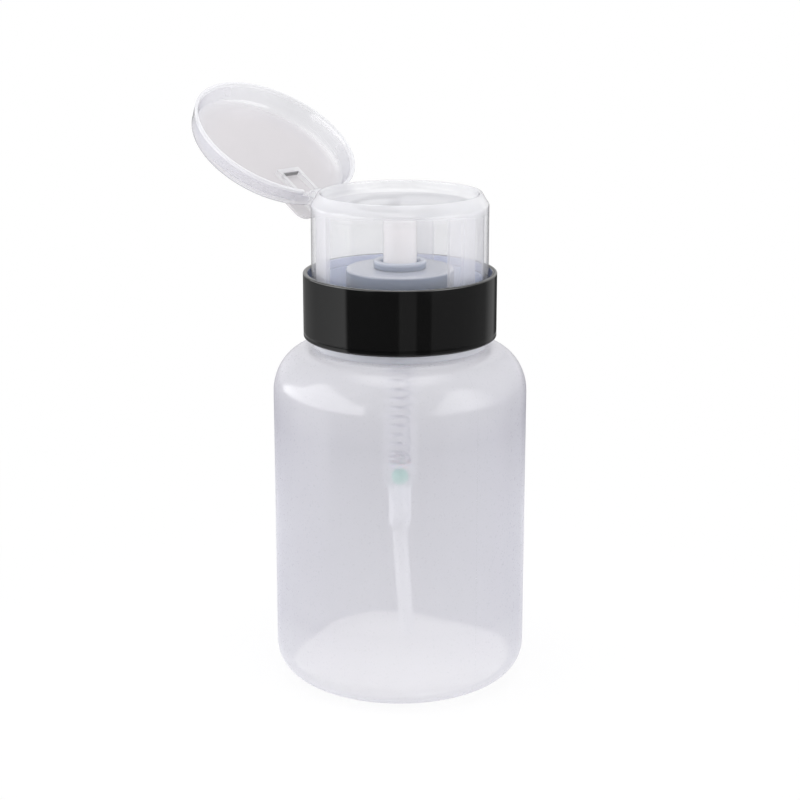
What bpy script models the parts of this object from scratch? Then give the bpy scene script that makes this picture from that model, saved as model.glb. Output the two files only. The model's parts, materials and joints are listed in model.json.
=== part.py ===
"""Press-down pump dispenser for nail polish remover, with its flip lid open.

Every solid is in metres, +Z up. The origin is on the bottle's axis, in the plane that it stands on.
The lid's hinge is at -X, and its axis runs along Y.
"""

import math

import bmesh
import bpy
from mathutils import Matrix, Vector

# Facets of the turned pieces
LARGE_SIDES = 48
SMALL_SIDES = 32
INNER_SIDES = 24
PIN_SIDES = 16
BALL_RINGS = 10
FILLET_STEPS = 2
FULL_TURN = 2 * math.pi
WELD = 0.000001

# Clearances shared by all pieces
SEAT_GAP = 0.0003
RUNNING_GAP = 0.00015
CUT_OVERRUN = 0.001
JOIN_OVERLAP = 0.0003

# Bottle
BODY_RADIUS = 0.032
BODY_WALL = 0.001
BASE_FILLET = 0.00825
BASE_FLOOR = 0.0013
BASE_PUSH_UP = 0.0006
STANDING_RING_WIDTH = 0.0034
PUSH_UP_SLOPE_WIDTH = 0.0015
SHOULDER_START_Z = 0.075
SHOULDER_RISE = 0.0115
SHOULDER_RUN = 0.010
SHOULDER_WALL = 0.001
NECK_RADIUS = 0.0196
NECK_WALL = 0.002
NECK_HEIGHT = 0.0064
NECK_LIP_FILLET = 0.0004
BASE_ARC_STEPS = 4
SHOULDER_ARC_STEPS = 6

# Neck gasket
GASKET_THICKNESS = 0.0008
GASKET_OVERHANG = 0.0008

# Pump cylinder: its flange seats on the gasket, its barrel hangs in the bottle
FLANGE_THICKNESS = 0.0009
FLANGE_OVERHANG = 0.0008
GUIDE_SOCKET_DEPTH = 0.0062
GUIDE_SOCKET_WALL = 0.0011
BARREL_BORE = 0.0033
BARREL_WALL = 0.001
BARREL_LENGTH = 0.0379
BALL_CHAMBER_ROOM = 0.0007
BALL_HEADROOM = 0.0006
VALVE_PORT_RADIUS = 0.0012
TUBE_BOSS_LENGTH = 0.0098
TUBE_BOSS_WALL = 0.0006
TUBE_SOCKET_DEPTH = 0.0071
BARREL_NOSE_CHAMFER = 0.0014
BARREL_NOSE_DROP = 0.0005
VENT_RADIUS = 0.0008
VENT_PLACE_SHARE = 0.62

# Balls of the two check valves
INLET_BALL_RADIUS = 0.0022
OUTLET_BALL_RADIUS = 0.0019
VALVE_SEAT_SLOPE = math.radians(45)
INLET_BALL_LIFT = 0.0005

# Ring that keeps the inlet ball and carries the spring
BALL_RETAINER_HEIGHT = 0.001
BALL_RETAINER_BORE = 0.0015

# Dip tube
TUBE_RADIUS = 0.00195
TUBE_BORE = 0.00125
TUBE_END_Z = 0.0085
TUBE_BOW = 0.0014
TUBE_BOW_HEADING = math.radians(41)
TUBE_SIDES = 12
TUBE_STEPS = 12

# Spring
SPRING_WIRE_RADIUS = 0.0003
SPRING_ROOM = 0.0005
SPRING_CURLS = 11
SPRING_POINTS_PER_CURL = 9
SPRING_LEAST_GAP = 0.0004

# Stem guide: a bush in the tower's top, whose foot plugs into the pump cylinder
GUIDE_WALL = 0.0013
GUIDE_FOOT_THICKNESS = 0.001
GUIDE_CAP_OVERHANG = 0.0007
GUIDE_CAP_HEIGHT = 0.0017
GUIDE_MOUTH_CLEARANCE = 0.0009
GUIDE_CLEARANCE = 0.0004
GUIDE_CAP_FILLET = 0.0003

# Threaded closure
THREAD_ROOM = 0.0015
SKIRT_WALL = 0.0009
SKIRT_STEP = 0.00075
SKIRT_STEP_RISE = 0.0033
SKIRT_BASE_CLEARANCE = 0.0004
DECK_THICKNESS = 0.0012
TOWER_RADIUS = 0.0135
TOWER_WALL = 0.0012
TOWER_HEIGHT = 0.0097
TOWER_FILLET = 0.0006

# Collar shroud
SHROUD_WALL = 0.0012
SHROUD_HEIGHT = 0.0164
SHROUD_RIM_FILLET = 0.0005
SHROUD_LIP_HEIGHT = 0.0008
SHROUD_LIP_REACH = 0.00075
SHROUD_SNAP_REACH = 0.00045
SHROUD_SNAP_HEIGHT = 0.0008
SHROUD_GROOVE_DEPTH = 0.0002
SHROUD_GROOVE_HEIGHT = 0.0005
SHROUD_GROOVE_RISE = 0.0011

# Press cup
CUP_SIDE_ROOM = 0.00095
CUP_BOTTOM_ROOM = 0.0004
CUP_WALL = 0.0012
CUP_RISE = 0.0174
CUP_SHOULDER_FILLET = 0.0007
CUP_SHOULDER_SLOPE = 0.0002
PRESS_STROKE = 0.0065
RIM_BEAD_INSET = 0.0015
RIM_BEAD_WIDTH = 0.001
RIM_BEAD_RISE = 0.0024
BEAD_STEPS = 4
BOWL_STEPS = 3
DISH_DEPTH = 0.0038
DISH_EDGE_DEPTH = 0.0028
DISH_STEP_RADIUS = 0.0084
DISH_STEP_RISE = 0.0004
DISH_STEP_WIDTH = 0.0006
DISH_BOWL_RUN = 0.0017
OUTLET_RADIUS = 0.0013
SPIGOT_WALL = 0.001
OUTLET_HEADROOM = 0.0007
LEG_THICKNESS = 0.001
LEG_SPAN = math.radians(26)
LEG_COUNT = 3
LEG_ARC_STEPS = 5
LEG_END_INSET = 0.0004

# Piston stem
STEM_RADIUS = 0.0042
STEM_TOP_GAP = 0.0003
STEM_STEP_ROOM = 0.0013
ROD_SIDE_ROOM = 0.0009
ROD_STEP_ROOM = 0.0013
ROD_TIP_RADIUS = 0.0016
ROD_TIP_LENGTH = 0.0057
ROD_BORE = 0.0010
OUTLET_SEAT_DEPTH = 0.0090
OUTLET_CHAMBER_ROOM = 0.0007

# Piston seal and its retainer
SEAL_LIP_HEIGHT = 0.0008
SEAL_WAIST = 0.0004
SEAL_LENGTH = 0.0043
SEAL_LIP_SLOPE = 0.0003
RETAINER_HEIGHT = 0.0017
RETAINER_FLOOR = 0.0006
RETAINER_SIDE_CLEARANCE = 0.0004

# Flip lid, in the place that it has when closed
LID_OVERHANG = 0.0004
LID_CORNER_RUN = 0.0047
LID_HEIGHT = 0.0066
LID_CROWN = 0.0005
LID_CROWN_RING_SHARE = 0.6
LID_WALL = 0.001
LID_RIM_GAP = 0.0005
LID_SIDE_DRAFT_SHARE = 0.16
LID_SIDE_SHARE = 0.6
LID_CORNER_STEPS = 4
LID_OPEN_ANGLE = math.radians(146)

# Lid hinge: ears on the cup, two cheeks and a thumb tab on the lid
HINGE_OFFSET = 0.0014
HINGE_DROP = 0.0006
PIN_RADIUS = 0.0008
CHEEK_INNER = 0.0028
CHEEK_THICKNESS = 0.001
CHEEK_END_RADIUS = 0.00115
CHEEK_LENGTH = 0.0156
CHEEK_FREE_EDGE = 0.005
CHEEK_ROOF_EMBED = 0.0007
CHEEK_THROAT = 0.0021
CHEEK_THROAT_RISE = 0.0031
CHEEK_RAMP_START = 0.0044
CHEEK_RAMP_END = 0.0062
CHEEK_STEPS = 6
HEEL_TOP = 0.0016
HEEL_BOTTOM = 0.0028
CROSS_BAR_WIDTH = 0.0014
EAR_SIDE_GAP = 0.0004
EAR_THICKNESS = 0.0026
EAR_RADIUS = 0.0015
EAR_DROP = 0.0024
EAR_ROOT_DROP = 0.0039
EAR_STEPS = 6
TAB_HALF_WIDTH = 0.0081
TAB_THICKNESS = 0.0008
TAB_SINK = 0.00005
TAB_REACH = 0.0011
TAB_ROOT_OVERLAP = 0.00015
TAB_CORNER_RADIUS = 0.0025
TAB_CORNER_STEPS = 4
NOTCH_SIDE_ROOM = 0.0005
NOTCH_RISE = 0.0016

# Places and fits worked out from the sizes above
NECK_BASE_Z = SHOULDER_START_Z + SHOULDER_RISE
NECK_TOP_Z = NECK_BASE_Z + NECK_HEIGHT
NECK_BORE = NECK_RADIUS - NECK_WALL
SHOULDER_CENTRE_R = BODY_RADIUS - SHOULDER_RUN
GASKET_Z = NECK_TOP_Z + SEAT_GAP
FLANGE_Z = GASKET_Z + GASKET_THICKNESS + SEAT_GAP
FLANGE_TOP_Z = FLANGE_Z + FLANGE_THICKNESS
FLANGE_RADIUS = NECK_RADIUS + FLANGE_OVERHANG

SKIRT_BORE = NECK_RADIUS + THREAD_ROOM
SKIRT_RADIUS = SKIRT_BORE + SKIRT_WALL
SKIRT_BASE_Z = NECK_BASE_Z + SKIRT_BASE_CLEARANCE
SKIRT_STEP_Z = SKIRT_BASE_Z + SKIRT_STEP_RISE
DECK_Z = FLANGE_TOP_Z + SEAT_GAP
DECK_TOP_Z = DECK_Z + DECK_THICKNESS
TOWER_TOP_Z = DECK_TOP_Z + TOWER_HEIGHT
SHROUD_BORE = SKIRT_RADIUS + SKIRT_STEP + SEAT_GAP
SHROUD_RADIUS = SHROUD_BORE + SHROUD_WALL
SHROUD_Z = SKIRT_STEP_Z - SEAT_GAP - SHROUD_LIP_HEIGHT
SHROUD_TOP_Z = SHROUD_Z + SHROUD_HEIGHT

GUIDE_BORE = STEM_RADIUS + GUIDE_CLEARANCE
GUIDE_RADIUS = GUIDE_BORE + GUIDE_WALL
GUIDE_CAP_RADIUS = GUIDE_RADIUS + GUIDE_CAP_OVERHANG
GUIDE_SOCKET_BORE = GUIDE_RADIUS + SEAT_GAP
BARREL_TOP_Z = FLANGE_TOP_Z - GUIDE_SOCKET_DEPTH
GUIDE_Z = BARREL_TOP_Z + SEAT_GAP
GUIDE_CAP_Z = TOWER_TOP_Z + SEAT_GAP
GUIDE_TOP_Z = GUIDE_CAP_Z + GUIDE_CAP_HEIGHT

BARREL_BASE_Z = BARREL_TOP_Z - BARREL_LENGTH
BARREL_RADIUS = BARREL_BORE + BARREL_WALL
BALL_CHAMBER_BORE = INLET_BALL_RADIUS + BALL_CHAMBER_ROOM
INLET_FOOT_Z = BARREL_BASE_Z - (BALL_CHAMBER_BORE - VALVE_PORT_RADIUS) / math.tan(VALVE_SEAT_SLOPE)
INLET_APEX_Z = INLET_FOOT_Z - VALVE_PORT_RADIUS / math.tan(VALVE_SEAT_SLOPE)
INLET_BALL_Z = INLET_APEX_Z + (INLET_BALL_RADIUS + SEAT_GAP) / math.sin(VALVE_SEAT_SLOPE)
CHAMBER_TOP_Z = INLET_BALL_Z + INLET_BALL_RADIUS + BALL_HEADROOM
BOSS_TOP_Z = INLET_FOOT_Z - BARREL_NOSE_DROP
BOSS_Z = BOSS_TOP_Z - TUBE_BOSS_LENGTH
TUBE_SOCKET_BORE = TUBE_RADIUS + SEAT_GAP
TUBE_SOCKET_TOP_Z = BOSS_Z + TUBE_SOCKET_DEPTH
RETAINER_RING_Z = CHAMBER_TOP_Z + SEAT_GAP
RETAINER_RING_TOP_Z = RETAINER_RING_Z + BALL_RETAINER_HEIGHT
SPRING_Z = RETAINER_RING_TOP_Z + SEAT_GAP

CUP_RADIUS = SHROUD_BORE - CUP_SIDE_ROOM
CUP_BORE = CUP_RADIUS - CUP_WALL
CUP_BASE_Z = DECK_TOP_Z + PRESS_STROKE + CUP_BOTTOM_ROOM
CUP_SHOULDER_Z = SHROUD_TOP_Z + CUP_RISE
RIM_BEAD_RADIUS = CUP_RADIUS - RIM_BEAD_INSET
BEAD_BASE_Z = CUP_SHOULDER_Z + CUP_SHOULDER_SLOPE
BEAD_TOP_Z = CUP_SHOULDER_Z + RIM_BEAD_RISE
DISH_Z = BEAD_TOP_Z - DISH_DEPTH
DISH_EDGE_Z = BEAD_TOP_Z - DISH_EDGE_DEPTH
DISH_EDGE_RADIUS = RIM_BEAD_RADIUS - RIM_BEAD_WIDTH - DISH_BOWL_RUN
DISH_UNDER_Z = DISH_Z - CUP_WALL

STEM_TOP_Z = DISH_UNDER_Z - STEM_TOP_GAP
STEM_STEP_Z = GUIDE_Z + GUIDE_FOOT_THICKNESS + PRESS_STROKE + STEM_STEP_ROOM
ROD_RADIUS = BARREL_BORE - ROD_SIDE_ROOM
ROD_STEP_Z = GUIDE_Z - ROD_STEP_ROOM
ROD_END_Z = ROD_STEP_Z - ROD_TIP_LENGTH
SEAL_TOP_Z = ROD_STEP_Z - SEAT_GAP
SEAL_Z = SEAL_TOP_Z - SEAL_LENGTH
RETAINER_Z = SEAL_Z - SEAT_GAP - RETAINER_HEIGHT
SPRING_TOP_Z = RETAINER_Z - SEAT_GAP
OUTLET_CHAMBER_BORE = OUTLET_BALL_RADIUS + OUTLET_CHAMBER_ROOM
OUTLET_SEAT_Z = STEM_TOP_Z - OUTLET_SEAT_DEPTH
OUTLET_APEX_Z = OUTLET_SEAT_Z - ROD_BORE / math.tan(VALVE_SEAT_SLOPE)
OUTLET_BALL_Z = OUTLET_APEX_Z + (OUTLET_BALL_RADIUS + SEAT_GAP) / math.sin(VALVE_SEAT_SLOPE)
SPIGOT_RADIUS = OUTLET_RADIUS + SPIGOT_WALL
SPIGOT_Z = OUTLET_BALL_Z + OUTLET_BALL_RADIUS + OUTLET_HEADROOM

HINGE_RADIUS = CUP_RADIUS + HINGE_OFFSET
HINGE_Z = CUP_SHOULDER_Z + LID_RIM_GAP - HINGE_DROP
LID_RIM_RADIUS = CUP_RADIUS + LID_OVERHANG
LID_ROOF_RADIUS = LID_RIM_RADIUS - LID_CORNER_RUN
LID_RIM_HEIGHT = HINGE_DROP
LID_ROOF_HEIGHT = LID_RIM_HEIGHT + LID_HEIGHT
CHEEK_OUTER = CHEEK_INNER + CHEEK_THICKNESS
CHEEK_TOP = LID_ROOF_HEIGHT - LID_WALL + CHEEK_ROOF_EMBED
HEEL_REACH = HINGE_RADIUS - math.sqrt(CUP_RADIUS ** 2 - CHEEK_INNER ** 2) - SEAT_GAP
EAR_INNER = CHEEK_OUTER + EAR_SIDE_GAP
EAR_OUTER = EAR_INNER + EAR_THICKNESS
NOTCH_HALF_WIDTH = EAR_OUTER + NOTCH_SIDE_ROOM
TAB_ROOT = HINGE_RADIUS - math.sqrt(LID_ROOF_RADIUS ** 2 - TAB_HALF_WIDTH ** 2) + TAB_ROOT_OVERLAP


def clear_scene():
    for obj in list(bpy.data.objects):
        bpy.data.objects.remove(obj, do_unlink=True)


def plastic(name, colour, roughness, transmission=0.0):
    """A Principled material for one piece."""
    material = bpy.data.materials.new(name)
    material.use_nodes = True
    shader = material.node_tree.nodes["Principled BSDF"]
    shader.inputs["Base Color"].default_value = (*colour, 1.0)
    shader.inputs["Roughness"].default_value = roughness
    shader.inputs["Transmission Weight"].default_value = transmission
    material.diffuse_color = (*colour, 1.0)
    return material


def steel(name, colour, roughness):
    """A Principled material for a bare metal piece."""
    material = plastic(name, colour, roughness)
    material.node_tree.nodes["Principled BSDF"].inputs["Metallic"].default_value = 1.0
    return material


def arc(centre, radii, start, end, steps):
    """Points of an elliptical arc in the (r, z) plane, from one angle to another."""
    points = []
    for i in range(steps + 1):
        angle = start + (end - start) * i / steps
        points.append((centre[0] + radii[0] * math.cos(angle), centre[1] + radii[1] * math.sin(angle)))
    return points


def quarter(centre, radius, from_quarter, steps=FILLET_STEPS):
    """A quarter circle that starts after this many quarter turns, counter-clockwise in (r, z)."""
    start = from_quarter * FULL_TURN / 4
    return arc(centre, (radius, radius), start, start + FULL_TURN / 4, steps)


def spin_mesh(profile, sides, closed):
    """A mesh turned about Z from points (r, z). An open profile starts and ends on the axis."""
    mesh = bmesh.new()
    verts = [mesh.verts.new((r, 0, z)) for r, z in profile]
    edges = [mesh.edges.new(pair) for pair in zip(verts, verts[1:])]
    if closed:
        edges.append(mesh.edges.new((verts[-1], verts[0])))
    bmesh.ops.spin(
        mesh,
        geom=verts + edges,
        cent=(0, 0, 0),
        axis=(0, 0, 1),
        angle=FULL_TURN,
        steps=sides,
        use_merge=True,
    )
    bmesh.ops.remove_doubles(mesh, verts=mesh.verts, dist=WELD)
    bmesh.ops.recalc_face_normals(mesh, faces=mesh.faces)
    return mesh


def add_object(name, mesh, material=None, parent=None, sharp=math.radians(35)):
    """Turns a bmesh into a scene object, shaded smooth apart from its real corners."""
    data = bpy.data.meshes.new(name)
    mesh.to_mesh(data)
    mesh.free()
    data.shade_smooth()
    data.set_sharp_from_angle(angle=sharp)
    obj = bpy.data.objects.new(name, data)
    bpy.context.scene.collection.objects.link(obj)
    if material:
        data.materials.append(material)
    if parent:
        obj.parent = parent
    return obj


def turned(name, profile, material, sides=LARGE_SIDES, closed=True, parent=None):
    return add_object(name, spin_mesh(profile, sides, closed), material, parent)


def helper(obj):
    """Marks an object that only shapes another one."""
    obj.hide_render = True
    obj.display_type = "WIRE"
    return obj


def combine(obj, other, operation):
    modifier = obj.modifiers.new(operation.lower(), "BOOLEAN")
    modifier.operation = operation
    modifier.object = helper(other)
    modifier.solver = "EXACT"


def prism(outline, y_low, y_high):
    """A closed prism from an outline in (x, z), extruded along Y."""
    mesh = bmesh.new()
    add_prism(mesh, outline, y_low, y_high)
    return mesh


def add_prism(mesh, outline, y_low, y_high):
    bottom = [mesh.verts.new((x, y_low, z)) for x, z in outline]
    face = mesh.faces.new(bottom)
    made = bmesh.ops.extrude_face_region(mesh, geom=[face])
    moved = [item for item in made["geom"] if isinstance(item, bmesh.types.BMVert)]
    bmesh.ops.translate(mesh, verts=moved, vec=(0, y_high - y_low, 0))
    bmesh.ops.recalc_face_normals(mesh, faces=mesh.faces)


def paired_prism(outline, inner, outer):
    """The same prism on both sides of the Y = 0 plane."""
    mesh = prism(outline, inner, outer)
    add_prism(mesh, outline, -outer, -inner)
    return mesh


def rod_along_y(mesh, centre, radius, length, middle, sides):
    """Adds a closed cylinder along Y, centred on this middle."""
    place = Matrix.Translation((centre[0], middle, centre[1])) @ Matrix.Rotation(FULL_TURN / 4, 4, "X")
    bmesh.ops.create_cone(
        mesh, cap_ends=True, segments=sides, radius1=radius, radius2=radius, depth=length, matrix=place
    )


def paired_rods(centre, radius, inner, outer, sides):
    mesh = bmesh.new()
    for side in (-1, 1):
        rod_along_y(mesh, centre, radius, outer - inner, side * (inner + outer) / 2, sides)
    return mesh


def pivot(name, location, parent=None, tilt=0.0):
    """An empty on a joint's axis. A positive tilt swings +X up and back over the hinge."""
    empty = bpy.data.objects.new(name, None)
    empty.location = location
    empty.rotation_euler = (0, -tilt, 0)
    bpy.context.scene.collection.objects.link(empty)
    empty.parent = parent
    return empty


def bottle(material):
    """Blow-moulded bottle: pushed-up base, straight body, elliptical shoulder and plain neck."""
    ring_outer = BODY_RADIUS - BASE_FILLET
    ring_inner = ring_outer - STANDING_RING_WIDTH
    panel = ring_inner - PUSH_UP_SLOPE_WIDTH
    inside = BODY_RADIUS - BODY_WALL
    floor = BASE_PUSH_UP + BASE_FLOOR
    inner_fillet = BASE_FILLET - BODY_WALL
    profile = [(0, BASE_PUSH_UP), (panel, BASE_PUSH_UP), (ring_inner, 0)]
    profile += arc(
        (ring_outer, BASE_FILLET), (BASE_FILLET, BASE_FILLET), -FULL_TURN / 4, 0, BASE_ARC_STEPS
    )
    profile += arc(
        (SHOULDER_CENTRE_R, SHOULDER_START_Z),
        (SHOULDER_RUN, SHOULDER_RISE),
        0,
        FULL_TURN / 4,
        SHOULDER_ARC_STEPS,
    )
    profile += [(NECK_RADIUS, NECK_BASE_Z)]
    profile += quarter((NECK_RADIUS - NECK_LIP_FILLET, NECK_TOP_Z - NECK_LIP_FILLET), NECK_LIP_FILLET, 0)
    profile += [(NECK_BORE, NECK_TOP_Z)]
    shoulder_centre = SHOULDER_CENTRE_R - SHOULDER_WALL
    profile += [(NECK_BORE, NECK_BASE_Z - SHOULDER_WALL)]
    profile += arc(
        (shoulder_centre, SHOULDER_START_Z),
        (inside - shoulder_centre, SHOULDER_RISE - SHOULDER_WALL),
        FULL_TURN / 4,
        0,
        SHOULDER_ARC_STEPS,
    )
    profile += arc(
        (inside - inner_fillet, floor + inner_fillet),
        (inner_fillet, inner_fillet),
        0,
        -FULL_TURN / 4,
        BASE_ARC_STEPS,
    )
    profile += [(0, floor)]
    return turned("bottle", profile, material, closed=False)


def neck_gasket(material, parent):
    """Foam ring that lies on the bottle's mouth."""
    inner = NECK_BORE + SEAT_GAP
    outer = NECK_RADIUS + GASKET_OVERHANG
    top = GASKET_Z + GASKET_THICKNESS
    profile = [(inner, GASKET_Z), (outer, GASKET_Z), (outer, top), (inner, top)]
    return turned("neck_gasket", profile, material, parent=parent)


def pump_cylinder(material, parent):
    """Flange, socket for the stem guide, barrel, ball chamber with its cone, and the dip tube's boss."""
    boss_radius = TUBE_SOCKET_BORE + TUBE_BOSS_WALL
    socket_outer = GUIDE_SOCKET_BORE + GUIDE_SOCKET_WALL
    profile = [
        (TUBE_SOCKET_BORE, BOSS_Z),
        (boss_radius, BOSS_Z),
        (boss_radius, BOSS_TOP_Z),
        (BARREL_RADIUS, BOSS_TOP_Z + BARREL_NOSE_CHAMFER),
        (BARREL_RADIUS, BARREL_TOP_Z - BARREL_WALL),
        (socket_outer, BARREL_TOP_Z - BARREL_WALL),
        (socket_outer, FLANGE_Z),
        (FLANGE_RADIUS, FLANGE_Z),
        (FLANGE_RADIUS, FLANGE_TOP_Z),
        (GUIDE_SOCKET_BORE, FLANGE_TOP_Z),
        (GUIDE_SOCKET_BORE, BARREL_TOP_Z),
        (BARREL_BORE, BARREL_TOP_Z),
        (BARREL_BORE, CHAMBER_TOP_Z),
        (BALL_CHAMBER_BORE, CHAMBER_TOP_Z),
        (BALL_CHAMBER_BORE, BARREL_BASE_Z),
        (VALVE_PORT_RADIUS, INLET_FOOT_Z),
        (VALVE_PORT_RADIUS, TUBE_SOCKET_TOP_Z),
        (TUBE_SOCKET_BORE, TUBE_SOCKET_TOP_Z),
    ]
    cylinder = turned("pump_cylinder", profile, material, SMALL_SIDES, parent=parent)
    vent_place = socket_outer + (NECK_BORE - socket_outer) * VENT_PLACE_SHARE
    vent = bmesh.new()
    bmesh.ops.create_cone(
        vent,
        cap_ends=True,
        segments=PIN_SIDES,
        radius1=VENT_RADIUS,
        radius2=VENT_RADIUS,
        depth=FLANGE_THICKNESS + CUT_OVERRUN,
        matrix=Matrix.Translation((0, vent_place, (FLANGE_Z + FLANGE_TOP_Z) / 2)),
    )
    combine(cylinder, add_object("vent_cutter", vent, parent=parent), "DIFFERENCE")


def stem_guide(material, parent):
    """Bush that closes the barrel and guides the stem, with a cap ring over the tower."""
    foot_bore = ROD_RADIUS + SEAT_GAP
    mouth = STEM_RADIUS + GUIDE_MOUTH_CLEARANCE
    fillet = GUIDE_CAP_FILLET
    profile = [
        (foot_bore, GUIDE_Z),
        (GUIDE_RADIUS, GUIDE_Z),
        (GUIDE_RADIUS, GUIDE_CAP_Z),
        (GUIDE_CAP_RADIUS, GUIDE_CAP_Z),
    ]
    profile += quarter((GUIDE_CAP_RADIUS - fillet, GUIDE_TOP_Z - fillet), fillet, 0)
    profile += [
        (mouth, GUIDE_TOP_Z),
        (mouth, GUIDE_CAP_Z),
        (GUIDE_BORE, GUIDE_CAP_Z - GUIDE_CLEARANCE),
        (GUIDE_BORE, GUIDE_Z + GUIDE_FOOT_THICKNESS),
        (foot_bore, GUIDE_Z + GUIDE_FOOT_THICKNESS),
    ]
    return turned("stem_guide", profile, material, SMALL_SIDES, parent=parent)


def ball_retainer(material, parent):
    outer = BARREL_BORE - RUNNING_GAP
    profile = [
        (BALL_RETAINER_BORE, RETAINER_RING_Z),
        (outer, RETAINER_RING_Z),
        (outer, RETAINER_RING_TOP_Z),
        (BALL_RETAINER_BORE, RETAINER_RING_TOP_Z),
    ]
    return turned("ball_retainer", profile, material, INNER_SIDES, parent=parent)


def ball(name, radius, centre_z, material, parent):
    profile = arc((0, centre_z), (radius, radius), -FULL_TURN / 4, FULL_TURN / 4, BALL_RINGS)
    profile = [(max(r, 0), z) for r, z in profile]
    profile[0] = (0, centre_z - radius)
    profile[-1] = (0, centre_z + radius)
    return turned(name, profile, material, PIN_SIDES, closed=False, parent=parent)


def dip_tube(material, parent):
    """Tube that goes straight into the boss, then bows a little to one side."""
    top_z = TUBE_SOCKET_TOP_Z - SEAT_GAP
    heading = Vector((math.cos(TUBE_BOW_HEADING), math.sin(TUBE_BOW_HEADING), 0))
    across = Vector((-heading.y, heading.x, 0))
    mesh = bmesh.new()
    rings = []
    for i in range(TUBE_STEPS + 1):
        along = i / TUBE_STEPS
        z = BOSS_Z + (TUBE_END_Z - BOSS_Z) * along
        centre = heading * TUBE_BOW * along ** 2 + Vector((0, 0, z))
        slope = 2 * TUBE_BOW * along / (BOSS_Z - TUBE_END_Z)
        rings.append((centre, slope))
    rings.insert(0, (Vector((0, 0, top_z)), 0))
    loops = []
    for centre, slope in rings:
        tilted = (heading + Vector((0, 0, slope))).normalized()
        for radius in (TUBE_RADIUS, TUBE_BORE):
            loop = []
            for k in range(TUBE_SIDES):
                angle = FULL_TURN * k / TUBE_SIDES
                outward = math.cos(angle) * tilted + math.sin(angle) * across
                loop.append(mesh.verts.new(centre + radius * outward))
            loops.append(loop)
    outer, inner = loops[0::2], loops[1::2]
    for wall in (outer, inner):
        for upper, lower in zip(wall, wall[1:]):
            bridge(mesh, upper, lower)
    bridge(mesh, outer[0], inner[0])
    bridge(mesh, outer[-1], inner[-1])
    bmesh.ops.recalc_face_normals(mesh, faces=mesh.faces)
    return add_object("dip_tube", mesh, material, parent)


def bridge(mesh, first, second):
    """Quads between two rings with the same number of points."""
    count = len(first)
    for k in range(count):
        after = (k + 1) % count
        mesh.faces.new((first[k], first[after], second[after], second[k]))


def pump_spring(material, parent):
    """One unbroken wire: a straight foot, its curls, and a straight end."""
    wire = 2 * SPRING_WIRE_RADIUS
    radius = BARREL_BORE - SPRING_ROOM - SPRING_WIRE_RADIUS
    low, high = SPRING_Z + wire, SPRING_TOP_Z - wire
    steps = SPRING_CURLS * SPRING_POINTS_PER_CURL
    points = [Vector((radius, 0, SPRING_Z))]
    for i in range(steps + 1):
        angle = FULL_TURN * i / SPRING_POINTS_PER_CURL
        z = low + (high - low) * i / steps
        points.append(Vector((radius * math.cos(angle), radius * math.sin(angle), z)))
    points.append(Vector((radius, 0, SPRING_TOP_Z)))
    gap = least_gap(points, wire)
    enough = gap > SPRING_LEAST_GAP
    print(f"pump_spring: least gap of the wire to itself {gap:.5f} m, over {SPRING_LEAST_GAP} m: {enough}")
    curve = bpy.data.curves.new("pump_spring", "CURVE")
    curve.dimensions = "3D"
    curve.bevel_depth = SPRING_WIRE_RADIUS
    curve.bevel_resolution = 1
    curve.use_fill_caps = True
    line = curve.splines.new("POLY")
    line.points.add(len(points) - 1)
    for slot, point in zip(line.points, points):
        slot.co = (*point, 1.0)
    line.use_smooth = True
    curve.materials.append(material)
    spring = bpy.data.objects.new("pump_spring", curve)
    bpy.context.scene.collection.objects.link(spring)
    spring.parent = parent
    return spring


def least_gap(points, wire):
    """Least clear space between stretches of the wire that lie half a curl or more apart."""
    apart = SPRING_POINTS_PER_CURL // 2 + 1
    least = min((a - b).length for i, a in enumerate(points) for b in points[i + apart:])
    return least - wire


def threaded_closure(material, parent):
    """Screw closure: stepped skirt, deck that the cup's skirt moves over, and the tower."""
    skirt_wide = SKIRT_RADIUS + SKIRT_STEP
    hole = GUIDE_RADIUS + SEAT_GAP
    inside = TOWER_RADIUS - TOWER_WALL
    profile = [
        (SKIRT_BORE, SKIRT_BASE_Z),
        (SKIRT_RADIUS, SKIRT_BASE_Z),
        (SKIRT_RADIUS, SKIRT_STEP_Z),
        (skirt_wide, SKIRT_STEP_Z),
        (skirt_wide, DECK_TOP_Z),
        (TOWER_RADIUS, DECK_TOP_Z),
    ]
    profile += quarter((TOWER_RADIUS - TOWER_FILLET, TOWER_TOP_Z - TOWER_FILLET), TOWER_FILLET, 0)
    profile += [
        (hole, TOWER_TOP_Z),
        (hole, TOWER_TOP_Z - TOWER_WALL),
        (inside, TOWER_TOP_Z - TOWER_WALL),
        (inside, DECK_Z),
        (SKIRT_BORE, DECK_Z),
    ]
    return turned("threaded_closure", profile, material, parent=parent)


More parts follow.
